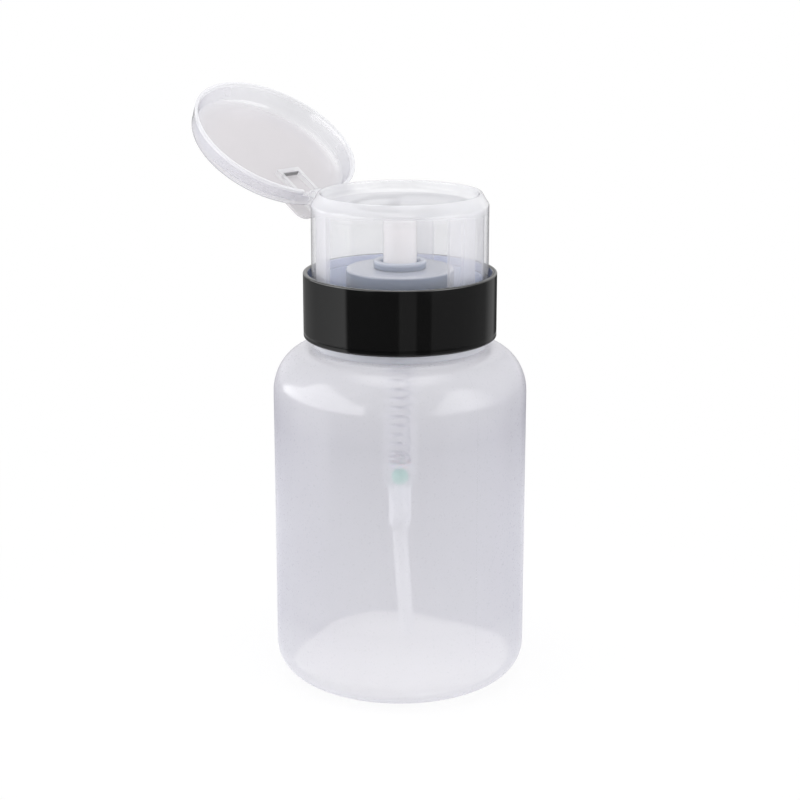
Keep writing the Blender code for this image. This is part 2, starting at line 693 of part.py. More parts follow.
def collar_shroud(material, parent):
    """Gloss ring with rounded rims, a fine groove near its foot, a lip under the closure and a snap bead."""
    fillet = SHROUD_RIM_FILLET
    lip = SHROUD_BORE - SHROUD_LIP_REACH
    snap = SHROUD_BORE - SHROUD_SNAP_REACH
    snap_z = DECK_TOP_Z + SEAT_GAP
    groove_z = SHROUD_Z + SHROUD_GROOVE_RISE
    groove = SHROUD_RADIUS - SHROUD_GROOVE_DEPTH
    profile = [(lip, SHROUD_Z)]
    profile += quarter((SHROUD_RADIUS - fillet, SHROUD_Z + fillet), fillet, 3)
    profile += [
        (SHROUD_RADIUS, groove_z),
        (groove, groove_z + SHROUD_GROOVE_HEIGHT / 2),
        (SHROUD_RADIUS, groove_z + SHROUD_GROOVE_HEIGHT),
    ]
    profile += quarter((SHROUD_RADIUS - fillet, SHROUD_TOP_Z - fillet), fillet, 0)
    profile += quarter((SHROUD_BORE + fillet, SHROUD_TOP_Z - fillet), fillet, 1)
    profile += [
        (SHROUD_BORE, snap_z + SHROUD_SNAP_HEIGHT),
        (snap, snap_z + SHROUD_SNAP_HEIGHT / 2),
        (SHROUD_BORE, snap_z),
        (SHROUD_BORE, SHROUD_Z + SHROUD_LIP_HEIGHT),
        (lip, SHROUD_Z + SHROUD_LIP_HEIGHT),
    ]
    return turned("collar_shroud", profile, material, parent=parent)


def press_cup(material, parent):
    """Skirt, raised rim bead, stepped dish with its outlet and spigot, inner legs and the hinge ears."""
    fillet = CUP_SHOULDER_FILLET
    bead_round = RIM_BEAD_WIDTH / 2
    bead_centre = RIM_BEAD_RADIUS - bead_round
    step_z = DISH_Z + DISH_STEP_RISE
    under_edge_z = CUP_SHOULDER_Z - CUP_WALL
    profile = [(CUP_BORE, CUP_BASE_Z), (CUP_RADIUS, CUP_BASE_Z)]
    profile += quarter((CUP_RADIUS - fillet, CUP_SHOULDER_Z - fillet), fillet, 0)
    profile += [(RIM_BEAD_RADIUS, BEAD_BASE_Z)]
    bead_z = BEAD_TOP_Z - bead_round
    profile += arc((bead_centre, bead_z), (bead_round, bead_round), 0, FULL_TURN / 2, BEAD_STEPS)
    bowl_rise = bead_z - RIM_BEAD_WIDTH - DISH_EDGE_Z
    profile += arc(
        (DISH_EDGE_RADIUS, DISH_EDGE_Z + bowl_rise), (DISH_BOWL_RUN, bowl_rise), 0, -FULL_TURN / 4, BOWL_STEPS
    )
    profile += [
        (DISH_STEP_RADIUS + DISH_STEP_WIDTH, step_z),
        (DISH_STEP_RADIUS, DISH_Z),
        (OUTLET_RADIUS, DISH_Z),
        (OUTLET_RADIUS, SPIGOT_Z),
        (SPIGOT_RADIUS, SPIGOT_Z),
        (SPIGOT_RADIUS, DISH_UNDER_Z),
        (DISH_STEP_RADIUS, DISH_UNDER_Z),
        (DISH_STEP_RADIUS + DISH_STEP_WIDTH, step_z - CUP_WALL),
        (DISH_EDGE_RADIUS, DISH_EDGE_Z - CUP_WALL),
        (CUP_BORE - fillet, under_edge_z),
        (CUP_BORE, under_edge_z - fillet),
    ]
    cup = turned("press_cup", profile, material, parent=parent)
    for index in range(LEG_COUNT):
        combine(cup, leg(index, under_edge_z, parent), "UNION")
    combine(cup, add_object("hinge_ears", ears(), parent=parent), "UNION")
    holes = paired_rods(
        (-HINGE_RADIUS, HINGE_Z),
        PIN_RADIUS + SEAT_GAP,
        EAR_INNER - CUT_OVERRUN / 2,
        EAR_OUTER + CUT_OVERRUN,
        PIN_SIDES,
    )
    combine(cup, add_object("ear_holes", holes, parent=parent), "DIFFERENCE")
    return cup


def leg(index, top_z, parent):
    """One inner leg: a thick stretch of the skirt's wall, from the shoulder to near the skirt's foot."""
    inner = CUP_BORE - LEG_THICKNESS
    outer = CUP_BORE + JOIN_OVERLAP
    middle = FULL_TURN * index / LEG_COUNT
    mesh = bmesh.new()
    low_z = CUP_BASE_Z + LEG_END_INSET
    outline = []
    for radius, sign in ((outer, 1), (inner, -1)):
        for i in range(LEG_ARC_STEPS + 1):
            angle = middle + sign * LEG_SPAN * (i / LEG_ARC_STEPS - 1 / 2)
            outline.append(mesh.verts.new((radius * math.cos(angle), radius * math.sin(angle), low_z)))
    face = mesh.faces.new(outline)
    made = bmesh.ops.extrude_face_region(mesh, geom=[face])
    moved = [item for item in made["geom"] if isinstance(item, bmesh.types.BMVert)]
    bmesh.ops.translate(mesh, verts=moved, vec=(0, 0, top_z + JOIN_OVERLAP - low_z))
    bmesh.ops.recalc_face_normals(mesh, faces=mesh.faces)
    return add_object(f"leg_{index}", mesh, parent=parent)


def ears():
    """Two lugs on the cup's wall that take the lid's pins."""
    root_x = -math.sqrt(CUP_RADIUS ** 2 - EAR_OUTER ** 2) + JOIN_OVERLAP
    outline = arc((-HINGE_RADIUS, HINGE_Z), (EAR_RADIUS, EAR_RADIUS), 0, FULL_TURN / 2, EAR_STEPS)
    low_centre = (-HINGE_RADIUS, HINGE_Z - EAR_DROP)
    outline += arc(low_centre, (EAR_RADIUS, EAR_RADIUS), FULL_TURN / 2, FULL_TURN * 5 / 8, EAR_STEPS // 2)
    outline += [(root_x, HINGE_Z - EAR_ROOT_DROP), (root_x, HINGE_Z - EAR_RADIUS / 2)]
    return paired_prism(outline, EAR_INNER, EAR_OUTER)


def piston_stem(material, parent):
    """Stem: wide tube with the outlet seat, rod, and a tip that carries the piston."""
    cone_top_z = OUTLET_SEAT_Z + (OUTLET_CHAMBER_BORE - ROD_BORE) / math.tan(VALVE_SEAT_SLOPE)
    profile = [
        (ROD_BORE, ROD_END_Z),
        (ROD_TIP_RADIUS, ROD_END_Z),
        (ROD_TIP_RADIUS, ROD_STEP_Z),
        (ROD_RADIUS, ROD_STEP_Z),
        (ROD_RADIUS, STEM_STEP_Z),
        (STEM_RADIUS, STEM_STEP_Z),
        (STEM_RADIUS, STEM_TOP_Z),
        (OUTLET_CHAMBER_BORE, STEM_TOP_Z),
        (OUTLET_CHAMBER_BORE, cone_top_z),
        (ROD_BORE, OUTLET_SEAT_Z),
    ]
    return turned("piston_stem", profile, material, SMALL_SIDES, parent=parent)


def piston_seal(material, parent):
    """Sleeve with a lip at each end that runs in the barrel."""
    bore = ROD_TIP_RADIUS + SEAT_GAP
    lip = BARREL_BORE - RUNNING_GAP
    waist = lip - SEAL_WAIST
    slope = SEAL_LIP_SLOPE
    profile = [
        (bore, SEAL_Z),
        (lip, SEAL_Z),
        (lip, SEAL_Z + SEAL_LIP_HEIGHT),
        (waist, SEAL_Z + SEAL_LIP_HEIGHT + slope),
        (waist, SEAL_TOP_Z - SEAL_LIP_HEIGHT - slope),
        (lip, SEAL_TOP_Z - SEAL_LIP_HEIGHT),
        (lip, SEAL_TOP_Z),
        (bore, SEAL_TOP_Z),
    ]
    return turned("piston_seal", profile, material, INNER_SIDES, parent=parent)


def piston_retainer(material, parent):
    """Cap on the rod's tip, under the seal, with the inlet hole in its floor."""
    outer = BARREL_BORE - RETAINER_SIDE_CLEARANCE
    socket = ROD_TIP_RADIUS + SEAT_GAP
    floor_z = ROD_END_Z - SEAT_GAP
    profile = [
        (ROD_BORE, floor_z - RETAINER_FLOOR),
        (outer, floor_z - RETAINER_FLOOR),
        (outer, SEAL_Z - SEAT_GAP),
        (socket, SEAL_Z - SEAT_GAP),
        (socket, floor_z),
        (ROD_BORE, floor_z),
    ]
    return turned("piston_retainer", profile, material, INNER_SIDES, parent=parent)


def lid_shell():
    """The lid's turned shell, about its own axis, with its heights counted from the hinge axis."""
    rim, roof = LID_RIM_HEIGHT, LID_ROOF_HEIGHT
    draft = (LID_RIM_RADIUS - LID_ROOF_RADIUS) * LID_SIDE_DRAFT_SHARE
    side_z = rim + LID_HEIGHT * LID_SIDE_SHARE
    side_r = LID_RIM_RADIUS - draft
    run, rise = side_r - LID_ROOF_RADIUS, roof - side_z
    outer = [(LID_RIM_RADIUS, rim)]
    outer += arc((LID_ROOF_RADIUS, side_z), (run, rise), 0, FULL_TURN / 4, LID_CORNER_STEPS)
    outer += crown(LID_ROOF_RADIUS, roof)
    wall = LID_WALL
    inner = [(LID_RIM_RADIUS - wall, rim)]
    inner_r = LID_ROOF_RADIUS - wall / 2
    inner += arc((inner_r, side_z), (run - wall / 2, rise - wall), 0, FULL_TURN / 4, LID_CORNER_STEPS)
    inner += crown(inner_r, roof - wall)
    return list(reversed(outer)) + inner


def crown(edge_r, edge_z):
    """Points of the slightly domed roof, from inside its edge to the axis."""
    shares = (LID_CROWN_RING_SHARE, 0)
    return [(edge_r * share, edge_z + LID_CROWN * (1 - share ** 2)) for share in shares]


def cheek_outline():
    """Side view of a hinge cheek, with its round end about the pin and its heel."""
    cos_open, sin_open = -math.cos(LID_OPEN_ANGLE), math.sin(LID_OPEN_ANGLE)
    heel = []
    for drop in (HEEL_TOP, HEEL_BOTTOM):
        heel.append((-HEEL_REACH * cos_open - drop * sin_open, -HEEL_REACH * sin_open + drop * cos_open))
    outline = arc((0, 0), (CHEEK_END_RADIUS, CHEEK_END_RADIUS), FULL_TURN / 2, FULL_TURN, CHEEK_STEPS)
    outline += [
        (CHEEK_THROAT, CHEEK_THROAT_RISE),
        (CHEEK_RAMP_START, CHEEK_THROAT_RISE),
        (CHEEK_RAMP_END, CHEEK_FREE_EDGE),
        (CHEEK_LENGTH, CHEEK_FREE_EDGE),
        (CHEEK_LENGTH, CHEEK_TOP),
        (-TAB_REACH / 2, CHEEK_TOP),
    ]
    return outline + list(reversed(heel))


def thumb_tab():
    """Plate level with the roof that carries the cheeks behind the lid's wall, with rounded corners."""
    top = LID_ROOF_HEIGHT - TAB_SINK
    corner = TAB_CORNER_RADIUS
    outline = [(TAB_ROOT, TAB_HALF_WIDTH), (TAB_ROOT, -TAB_HALF_WIDTH)]
    for side in (-1, 1):
        centre = (corner - TAB_REACH, side * (TAB_HALF_WIDTH - corner))
        start = FULL_TURN * 3 / 4 if side < 0 else FULL_TURN / 2
        outline += arc(centre, (corner, corner), start, start - FULL_TURN / 4, TAB_CORNER_STEPS)
    mesh = bmesh.new()
    face = mesh.faces.new([mesh.verts.new((x, y, top - TAB_THICKNESS)) for x, y in outline])
    made = bmesh.ops.extrude_face_region(mesh, geom=[face])
    moved = [item for item in made["geom"] if isinstance(item, bmesh.types.BMVert)]
    bmesh.ops.translate(mesh, verts=moved, vec=(0, 0, TAB_THICKNESS))
    bmesh.ops.recalc_face_normals(mesh, faces=mesh.faces)
    return mesh


def flip_lid(material, parent):
    """Lid, modelled closed about the hinge axis. Its parent holds it open."""
    shell = spin_mesh(lid_shell(), LARGE_SIDES, closed=False)
    bmesh.ops.translate(shell, verts=shell.verts, vec=(HINGE_RADIUS, 0, 0))
    lid = add_object("flip_lid", shell, material, parent)
    notch_top = LID_RIM_HEIGHT + NOTCH_RISE
    notch_outline = [
        (0, LID_RIM_HEIGHT - CUT_OVERRUN),
        (CHEEK_RAMP_START, LID_RIM_HEIGHT - CUT_OVERRUN),
        (CHEEK_RAMP_START, notch_top),
        (0, notch_top),
    ]
    notch = prism(notch_outline, -NOTCH_HALF_WIDTH, NOTCH_HALF_WIDTH)
    combine(lid, add_object("rim_notch", notch, parent=parent), "DIFFERENCE")
    cheeks = paired_prism(cheek_outline(), CHEEK_INNER, CHEEK_OUTER)
    combine(lid, add_object("cheeks", cheeks, parent=parent), "UNION")
    bar_outline = [
        (CHEEK_LENGTH - CROSS_BAR_WIDTH, CHEEK_FREE_EDGE),
        (CHEEK_LENGTH, CHEEK_FREE_EDGE),
        (CHEEK_LENGTH, CHEEK_TOP),
        (CHEEK_LENGTH - CROSS_BAR_WIDTH, CHEEK_TOP),
    ]
    bar = prism(bar_outline, -CHEEK_INNER - JOIN_OVERLAP, CHEEK_INNER + JOIN_OVERLAP)
    combine(lid, add_object("cross_bar", bar, parent=parent), "UNION")
    combine(lid, add_object("thumb_tab", thumb_tab(), parent=parent), "UNION")
    pins = paired_rods((0, 0), PIN_RADIUS, CHEEK_OUTER - JOIN_OVERLAP, EAR_OUTER - SEAT_GAP, PIN_SIDES)
    combine(lid, add_object("lid_pins", pins, parent=parent), "UNION")
    return lid


def build():
    clear_scene()
    natural = plastic("natural_plastic", (0.86, 0.85, 0.89), 0.35, 0.6)
    clear = plastic("clear_plastic", (0.92, 0.92, 0.94), 0.12, 0.85)
    white = plastic("white_plastic", (0.93, 0.93, 0.93), 0.4)
    milky = plastic("milky_plastic", (0.9, 0.9, 0.92), 0.4, 0.4)
    black = plastic("gloss_black_plastic", (0.012, 0.012, 0.013), 0.12)
    foam = plastic("gasket_foam", (0.9, 0.9, 0.88), 0.8)
    glass = plastic("green_ball", (0.25, 0.78, 0.6), 0.15, 0.3)
    wire = steel("spring_steel", (0.72, 0.72, 0.74), 0.25)

    pump = pivot("pump_lift_axis", (0, 0, 0))
    closure = pivot("closure_turn_axis", (0, 0, 0), pump)
    head = pivot("pump_press_axis", (0, 0, 0), pump)
    hinge = pivot("lid_hinge_axis", (-HINGE_RADIUS, 0, HINGE_Z), head, LID_OPEN_ANGLE)

    bottle(natural)
    neck_gasket(foam, pump)
    pump_cylinder(milky, pump)
    stem_guide(milky, pump)
    ball_retainer(white, pump)
    ball("inlet_ball", INLET_BALL_RADIUS, INLET_BALL_Z, glass, pump)
    dip_tube(milky, pump)
    pump_spring(wire, pump)
    threaded_closure(milky, closure)
    collar_shroud(black, closure)
    press_cup(clear, head)
    piston_stem(white, head)
    piston_seal(white, head)
    piston_retainer(white, head)
    ball("outlet_ball", OUTLET_BALL_RADIUS, OUTLET_BALL_Z, white, head)
    flip_lid(clear, hinge)


build()
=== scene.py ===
"""Looks for the pump dispenser: fine turned plastics, the real spring, the studio and the camera.

All lengths are in metres and in the frame's own axes. Angles are in degrees where a name ends in _DEG.
"""

import json
import math
from collections import namedtuple

import bmesh
import bpy
from mathutils import Matrix, Vector

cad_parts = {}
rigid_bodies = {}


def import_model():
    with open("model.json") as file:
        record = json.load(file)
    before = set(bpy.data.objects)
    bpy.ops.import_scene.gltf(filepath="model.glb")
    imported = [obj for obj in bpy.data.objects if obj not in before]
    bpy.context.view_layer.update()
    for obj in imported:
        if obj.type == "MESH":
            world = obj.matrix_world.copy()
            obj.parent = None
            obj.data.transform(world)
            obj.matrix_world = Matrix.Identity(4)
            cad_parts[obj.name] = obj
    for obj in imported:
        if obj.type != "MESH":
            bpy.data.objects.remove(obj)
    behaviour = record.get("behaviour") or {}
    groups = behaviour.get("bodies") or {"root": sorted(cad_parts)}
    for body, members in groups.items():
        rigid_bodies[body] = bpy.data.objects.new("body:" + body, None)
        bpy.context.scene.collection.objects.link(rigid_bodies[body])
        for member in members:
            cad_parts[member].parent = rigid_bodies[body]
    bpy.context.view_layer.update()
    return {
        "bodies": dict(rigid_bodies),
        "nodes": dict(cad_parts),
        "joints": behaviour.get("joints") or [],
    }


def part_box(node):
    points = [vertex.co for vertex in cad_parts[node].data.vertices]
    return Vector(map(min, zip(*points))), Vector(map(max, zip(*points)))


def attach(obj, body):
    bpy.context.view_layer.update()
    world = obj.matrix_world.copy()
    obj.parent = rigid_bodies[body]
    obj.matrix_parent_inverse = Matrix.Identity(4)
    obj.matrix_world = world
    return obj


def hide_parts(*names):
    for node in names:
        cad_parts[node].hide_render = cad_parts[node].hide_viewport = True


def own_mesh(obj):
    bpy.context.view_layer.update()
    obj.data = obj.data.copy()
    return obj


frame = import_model()

FULL_TURN = 2 * math.pi
MM = 0.001

# Facets of round pieces
SIDES = 160
FINE_SIDES = 192
INNER_SIDES = 96
ROUND_STEPS = 6
LARGE_ROUND_STEPS = 18
SHOULDER_STEPS = 24
COLLAR_SIDES = 224
BALL_SIDES = 48
ROD_SIDES = 32
WIRE_SIDES = 12

# Points closer than this become one
WELD = 0.002 * MM

# Edges that turn by less than this are shaded smooth
SHARP_DEG = 35

# Small chamfer of moulded edges
CHAMFER = 0.2 * MM

# Camera, fitted to the round rims in the photograph
SENSOR_WIDTH_MM = 36
LENS_MM = 87.78
CAMERA_AZIMUTH_DEG = 42
CAMERA_PITCH_DEG = 15.131
CAMERA_DISTANCE = 0.47855
CAMERA_HEIGHT = 0.20151


def clear_defaults():
    """Takes away the camera and the lights that the factory scene brought in beside the frame."""
    kept = {o.name for o in frame["nodes"].values()} | {o.name for o in frame["bodies"].values()}
    for obj in list(bpy.data.objects):
        if obj.name not in kept and obj.type in ("CAMERA", "LIGHT"):
            bpy.data.objects.remove(obj, do_unlink=True)


# Geometry helpers


def arc(centre, radii, start_deg, end_deg, steps=ROUND_STEPS):
    """Points of an elliptical arc in the (r, z) plane."""
    points = []
    for i in range(steps + 1):
        angle = math.radians(start_deg + (end_deg - start_deg) * i / steps)
        points.append((centre[0] + radii[0] * math.cos(angle), centre[1] + radii[1] * math.sin(angle)))
    return points


def fillet(centre, radius, start_deg, steps=ROUND_STEPS):
    """A quarter circle, counter-clockwise in (r, z)."""
    return arc(centre, (radius, radius), start_deg, start_deg + 90, steps)


def polar(radius, angle, z=0.0):
    return Vector((radius * math.cos(angle), radius * math.sin(angle), z))


def smooth(data):
    data.shade_smooth()
    data.set_sharp_from_angle(angle=math.radians(SHARP_DEG))


def mesh_object(name, mesh):
    data = bpy.data.meshes.new(name)
    bmesh.ops.recalc_face_normals(mesh, faces=mesh.faces)
    mesh.to_mesh(data)
    mesh.free()
    smooth(data)
    obj = bpy.data.objects.new(name, data)
    bpy.context.scene.collection.objects.link(obj)
    return obj


def spin_mesh(profile, sides=SIDES, closed=True):
    mesh = bmesh.new()
    verts = [mesh.verts.new((r, 0, z)) for r, z in profile]
    edges = [mesh.edges.new(pair) for pair in zip(verts, verts[1:])]
    if closed:
        edges.append(mesh.edges.new((verts[-1], verts[0])))
    bmesh.ops.spin(
        mesh, geom=verts + edges, cent=(0, 0, 0), axis=(0, 0, 1), angle=FULL_TURN, steps=sides,
        use_merge=True
    )
    bmesh.ops.remove_doubles(mesh, verts=mesh.verts, dist=WELD)
    return mesh


def turned(name, profile, sides=SIDES, closed=True):
    return mesh_object(name, spin_mesh(profile, sides, closed))


def extrude(mesh, points, shift):
    face = mesh.faces.new([mesh.verts.new(p) for p in points])
    made = bmesh.ops.extrude_face_region(mesh, geom=[face])["geom"]
    bmesh.ops.translate(mesh, verts=[v for v in made if isinstance(v, bmesh.types.BMVert)], vec=shift)


def prism(name, points, shift):
    mesh = bmesh.new()
    extrude(mesh, points, shift)
    return mesh_object(name, mesh)


def side_prisms(name, outline, inner, outer):
    """The same prism, drawn in (x, z), on both sides of Y = 0."""
    mesh = bmesh.new()
    for low in (inner, -outer):
        extrude(mesh, [(x, low, z) for x, z in outline], (0, outer - inner, 0))
    return mesh_object(name, mesh)


def side_rods(name, centre, radius, inner, outer):
    """The same rod along Y on both sides of Y = 0."""
    mesh = bmesh.new()
    for side in (-1, 1):
        middle = Matrix.Translation((centre[0], side * (inner + outer) / 2, centre[1]))
        bmesh.ops.create_cone(
            mesh, cap_ends=True, segments=ROD_SIDES, radius1=radius, radius2=radius, depth=outer - inner,
            matrix=middle @ Matrix.Rotation(FULL_TURN / 4, 4, "X")
        )
    return mesh_object(name, mesh)


def sector(outer, inner, middle, span, z, steps):
    """The outline of a stretch of ring, seen from above."""
    points = []
    for radius, sign in ((outer, 1), (inner, -1)):
        points += [polar(radius, middle + sign * span * (i / steps - 0.5), z) for i in range(steps + 1)]
    return points


def apply_booleans(obj, steps):
    """Joins or cuts helper objects one after another, and removes them."""
    for other, operation in steps:
        modifier = obj.modifiers.new(operation, "BOOLEAN")
        modifier.operation = operation
        modifier.object = other
        modifier.solver = "EXACT"
        graph = bpy.context.evaluated_depsgraph_get()
        result = bpy.data.meshes.new_from_object(obj.evaluated_get(graph))
        obj.modifiers.clear()
        obj.data = result
        bpy.data.objects.remove(other, do_unlink=True)
    smooth(obj.data)


def bridge(mesh, first, second):
    """A band of faces between two closed rings of as many points."""
    for k, point in enumerate(first):
        j = (k + 1) % len(first)
        mesh.faces.new((point, first[j], second[j], second[k]))


def loft(mesh, rings):
    """Bands from ring to ring, and a face at both ends."""
    for first, second in zip(rings, rings[1:]):
        bridge(mesh, first, second)
    mesh.faces.new(rings[0])
    mesh.faces.new(list(reversed(rings[-1])))


def rings_along(mesh, centres, radius, sides):
    circle = [polar(radius, FULL_TURN * k / sides) for k in range(sides)]
    rings = []
    for i, centre in enumerate(centres):
        ahead = centres[min(i + 1, len(centres) - 1)] - centres[max(i - 1, 0)]
        turn = Vector((0, 0, 1)).rotation_difference(ahead.normalized())
        rings.append([mesh.verts.new(centre + turn @ point) for point in circle])
    return rings


def rod(name, centres, radius, sides):
    """A round rod along a line of centres."""
    mesh = bmesh.new()
    loft(mesh, rings_along(mesh, centres, radius, sides))
    return mesh_object(name, mesh)


def tube(name, centres, radius, bore, sides):
    """A round tube along a line of centres."""
    mesh = bmesh.new()
    walls = [rings_along(mesh, centres, r, sides) for r in (radius, bore)]
    for rings in walls:
        for first, second in zip(rings, rings[1:]):
            bridge(mesh, first, second)
    for end in (0, -1):
        bridge(mesh, walls[0][end], walls[1][end])
    return mesh_object(name, mesh)


# Thread ridges: facets of a turn, how deep the root sinks into the wall, half the crest's share of the width,
# a run-out's share of the length, and what share of the height is left at its end
THREAD_STEPS = 96
THREAD_ROOT = 0.15 * MM
CREST_SHARE = 0.18
RUN_OUT_SHARE = 1 / 12
LEAST_RISE_SHARE = 0.02


def thread_ridge(name, radius, height, width, z_start, pitch, turns, inward=False):
    """A helical ridge on a cylinder, with run-outs at both ends."""
    mesh = bmesh.new()
    steps = int(THREAD_STEPS * turns)
    out = -1 if inward else 1
    rings = []
    for i in range(steps + 1):
        along = i / steps
        share = min(1, along / RUN_OUT_SHARE, (1 - along) / RUN_OUT_SHARE)
        rise = height * max(share, LEAST_RISE_SHARE)
        angle = FULL_TURN * turns * along
        z = z_start + pitch * turns * along
        section = ((-THREAD_ROOT, -0.5), (rise, -CREST_SHARE), (rise, CREST_SHARE), (-THREAD_ROOT, 0.5))
        corners = [polar(radius + out * depth, angle, z + up * width) for depth, up in section]
        rings.append([mesh.verts.new(corner) for corner in corners])
    loft(mesh, rings)
    return mesh_object(name, mesh)


# Materials


def title(name):
    """A socket's name in Blender, from the name of an argument."""
    return name.replace("_", " ").title().replace("Ior", "IOR")


class Nodes:
    """Short hand for building a node tree. A value is a number, a colour or another node's socket."""

    def __init__(self, tree):
        self.tree = tree
        self.coordinates = self.new("ShaderNodeTexCoord")

    def new(self, kind, **inputs):
        node = self.tree.nodes.new(kind)
        for name, value in inputs.items():
            self.feed(node.inputs[title(name)], value)
        return node

    def feed(self, socket, value):
        if isinstance(value, bpy.types.NodeSocket):
            self.tree.links.new(value, socket)
        elif isinstance(value, tuple):
            socket.default_value = (*value, 1.0)
        else:
            socket.default_value = value

    def maths(self, operation, *values):
        node = self.new("ShaderNodeMath")
        node.operation = operation
        for socket, value in zip(node.inputs, values):
            self.feed(socket, value)
        return node.outputs["Value"]

    def scale(self, source, from_low, from_high, low=0.0, high=1.0, kind="LINEAR"):
        """Maps a number from one range to another, and holds it there."""
        node = self.new(
            "ShaderNodeMapRange", value=source, from_min=from_low, from_max=from_high, to_min=low,
            to_max=high
        )
        node.interpolation_type = kind
        return node.outputs["Result"]

    def between(self, share, first, second):
        """A number between two others, by a share."""
        rest = self.maths("SUBTRACT", 1.0, share)
        return self.maths("ADD", self.maths("MULTIPLY", share, second), self.maths("MULTIPLY", rest, first))

    def blend(self, share, first, second):
        """A colour between two others, by a share."""
        node = self.new("ShaderNodeMix")
        node.data_type = "RGBA"
        for index, value in ((0, share), (6, first), (7, second)):
            self.feed(node.inputs[index], value)
        return node.outputs[2]

    def ramp(self, source, stops):
        """A colour ramp. Its stops are (place, colour)."""
        node = self.new("ShaderNodeValToRGB", fac=source)
        elements = node.color_ramp.elements
        for index, (place, colour) in enumerate(stops):
            element = elements[index] if index < 2 else elements.new(place)
            element.position = place
            element.color = (*colour, 1.0)
        return node.outputs["Color"]

    def mix_shader(self, share, first, second):
        node = self.new("ShaderNodeMixShader")
        for socket, value in zip(node.inputs, (share, first.outputs[0], second.outputs[0])):
            self.feed(socket, value)
        return node

    def split(self, vector):
        return self.new("ShaderNodeSeparateXYZ", vector=vector).outputs

    def seen_directly(self, path):
        """1 for rays from the camera or through the object, and 0 for the light that falls on it."""
        return self.maths("MAXIMUM", path.outputs["Is Camera Ray"], path.outputs["Is Transmission Ray"])


# Noise seldom leaves the middle half of its range
NOISE_LOW, NOISE_HIGH = 0.25, 0.75
MARKS_LOW, MARKS_HIGH = 0.3, 0.7
MARKS_DETAIL = 2.0

# Noise scales, per metre
MOULDED_MARKS = 55.0
MOULDED_GRAIN = 2080.0
WALL_MARKS = 40.0
WALL_GRAIN = 1800.0
WIRE_GRAIN = 2600.0
WAVES = 38.0

ROUGHNESS_SPREAD = 0.15
FINE_DEPTH = 0.02 * MM
WIRE_DEPTH = 0.01 * MM
SUBSURFACE_SCALE = 2 * MM
PLASTIC_IOR = 1.5


class Look(Nodes):
    """The nodes of one new material."""

    def __init__(self, name):
        self.material = bpy.data.materials.new(name)
        self.material.use_nodes = True
        super().__init__(self.material.node_tree)
        self.shader = self.tree.nodes["Principled BSDF"]
        self.output = self.tree.nodes["Material Output"]
        self.place = self.coordinates.outputs["Object"]

    def put(self, **inputs):
        """Sets inputs of the main shader."""
        for name, value in inputs.items():
            self.feed(self.shader.inputs[title(name)], value)

    def noise(self, scale, detail):
        return self.new("ShaderNodeTexNoise", scale=scale, detail=detail, vector=self.place).outputs["Fac"]

    def marks(self, colour, shade, scale):
        """The colour with flow marks, darker and lighter by the share shade."""
        dark = tuple(c * (1 - shade) for c in colour)
        light = tuple(min(1.0, c * (1 + shade)) for c in colour)
        return self.ramp(self.noise(scale, MARKS_DETAIL), ((MARKS_LOW, dark), (MARKS_HIGH, light)))

    def grain(self, fine, rough_low, rough_high, bump, depth):
        """Fine marks in roughness and surface."""
        relief = self.new("ShaderNodeBump", strength=bump, distance=depth, height=fine)
        rough = self.scale(fine, NOISE_LOW, NOISE_HIGH, rough_low, rough_high)
        self.put(roughness=rough, normal=relief.outputs["Normal"])

    def moulded_grain(self, fine, roughness, bump):
        spread = ROUGHNESS_SPREAD * roughness
        self.grain(fine, roughness - spread, roughness + spread, bump, FINE_DEPTH)


def moulded(name, colour, roughness, ior=PLASTIC_IOR, bump=0.15, subsurface=0.0):
    """Moulded plastic: faint flow marks in colour, roughness and surface."""
    n = Look(name)
    n.put(base_color=n.marks(colour, shade=0.04, scale=MOULDED_MARKS))
    n.moulded_grain(n.noise(MOULDED_GRAIN, detail=3.0), roughness, bump)
    n.put(ior=ior, subsurface_weight=subsurface, subsurface_scale=SUBSURFACE_SCALE)
    return n.material


# A stretch of height, in which a wall changes to what it is like below it, and how wavy that edge is.
# The glow that it gives is a painted glow, not light from a lamp.
Below = namedtuple("Below", "low_z high_z colour clear lift wave", defaults=(0.0, 0.0))


def change_below(n, height, zones, tint, passed, painted_glow_strength):
    """The colour, the share passed and the strength of the painted glow, changed by one zone after another.
    """
    for zone in zones:
        edge = height
        if zone.wave:
            edge = n.maths("MULTIPLY_ADD", n.noise(WAVES, detail=1.0), -zone.wave, height)
        under = n.scale(edge, zone.low_z, zone.high_z, 1.0, 0.0)
        tint = n.blend(under, tint, zone.colour)
        passed = n.between(under, passed, zone.clear)
        painted_glow_strength = n.between(under, painted_glow_strength, zone.lift)
    return tint, passed, painted_glow_strength


# How fast a wall tends to its slanted colour, and the steepest slant that makes it denser
SLANT_POWER = 3.0
LEAST_SLANT = 0.16


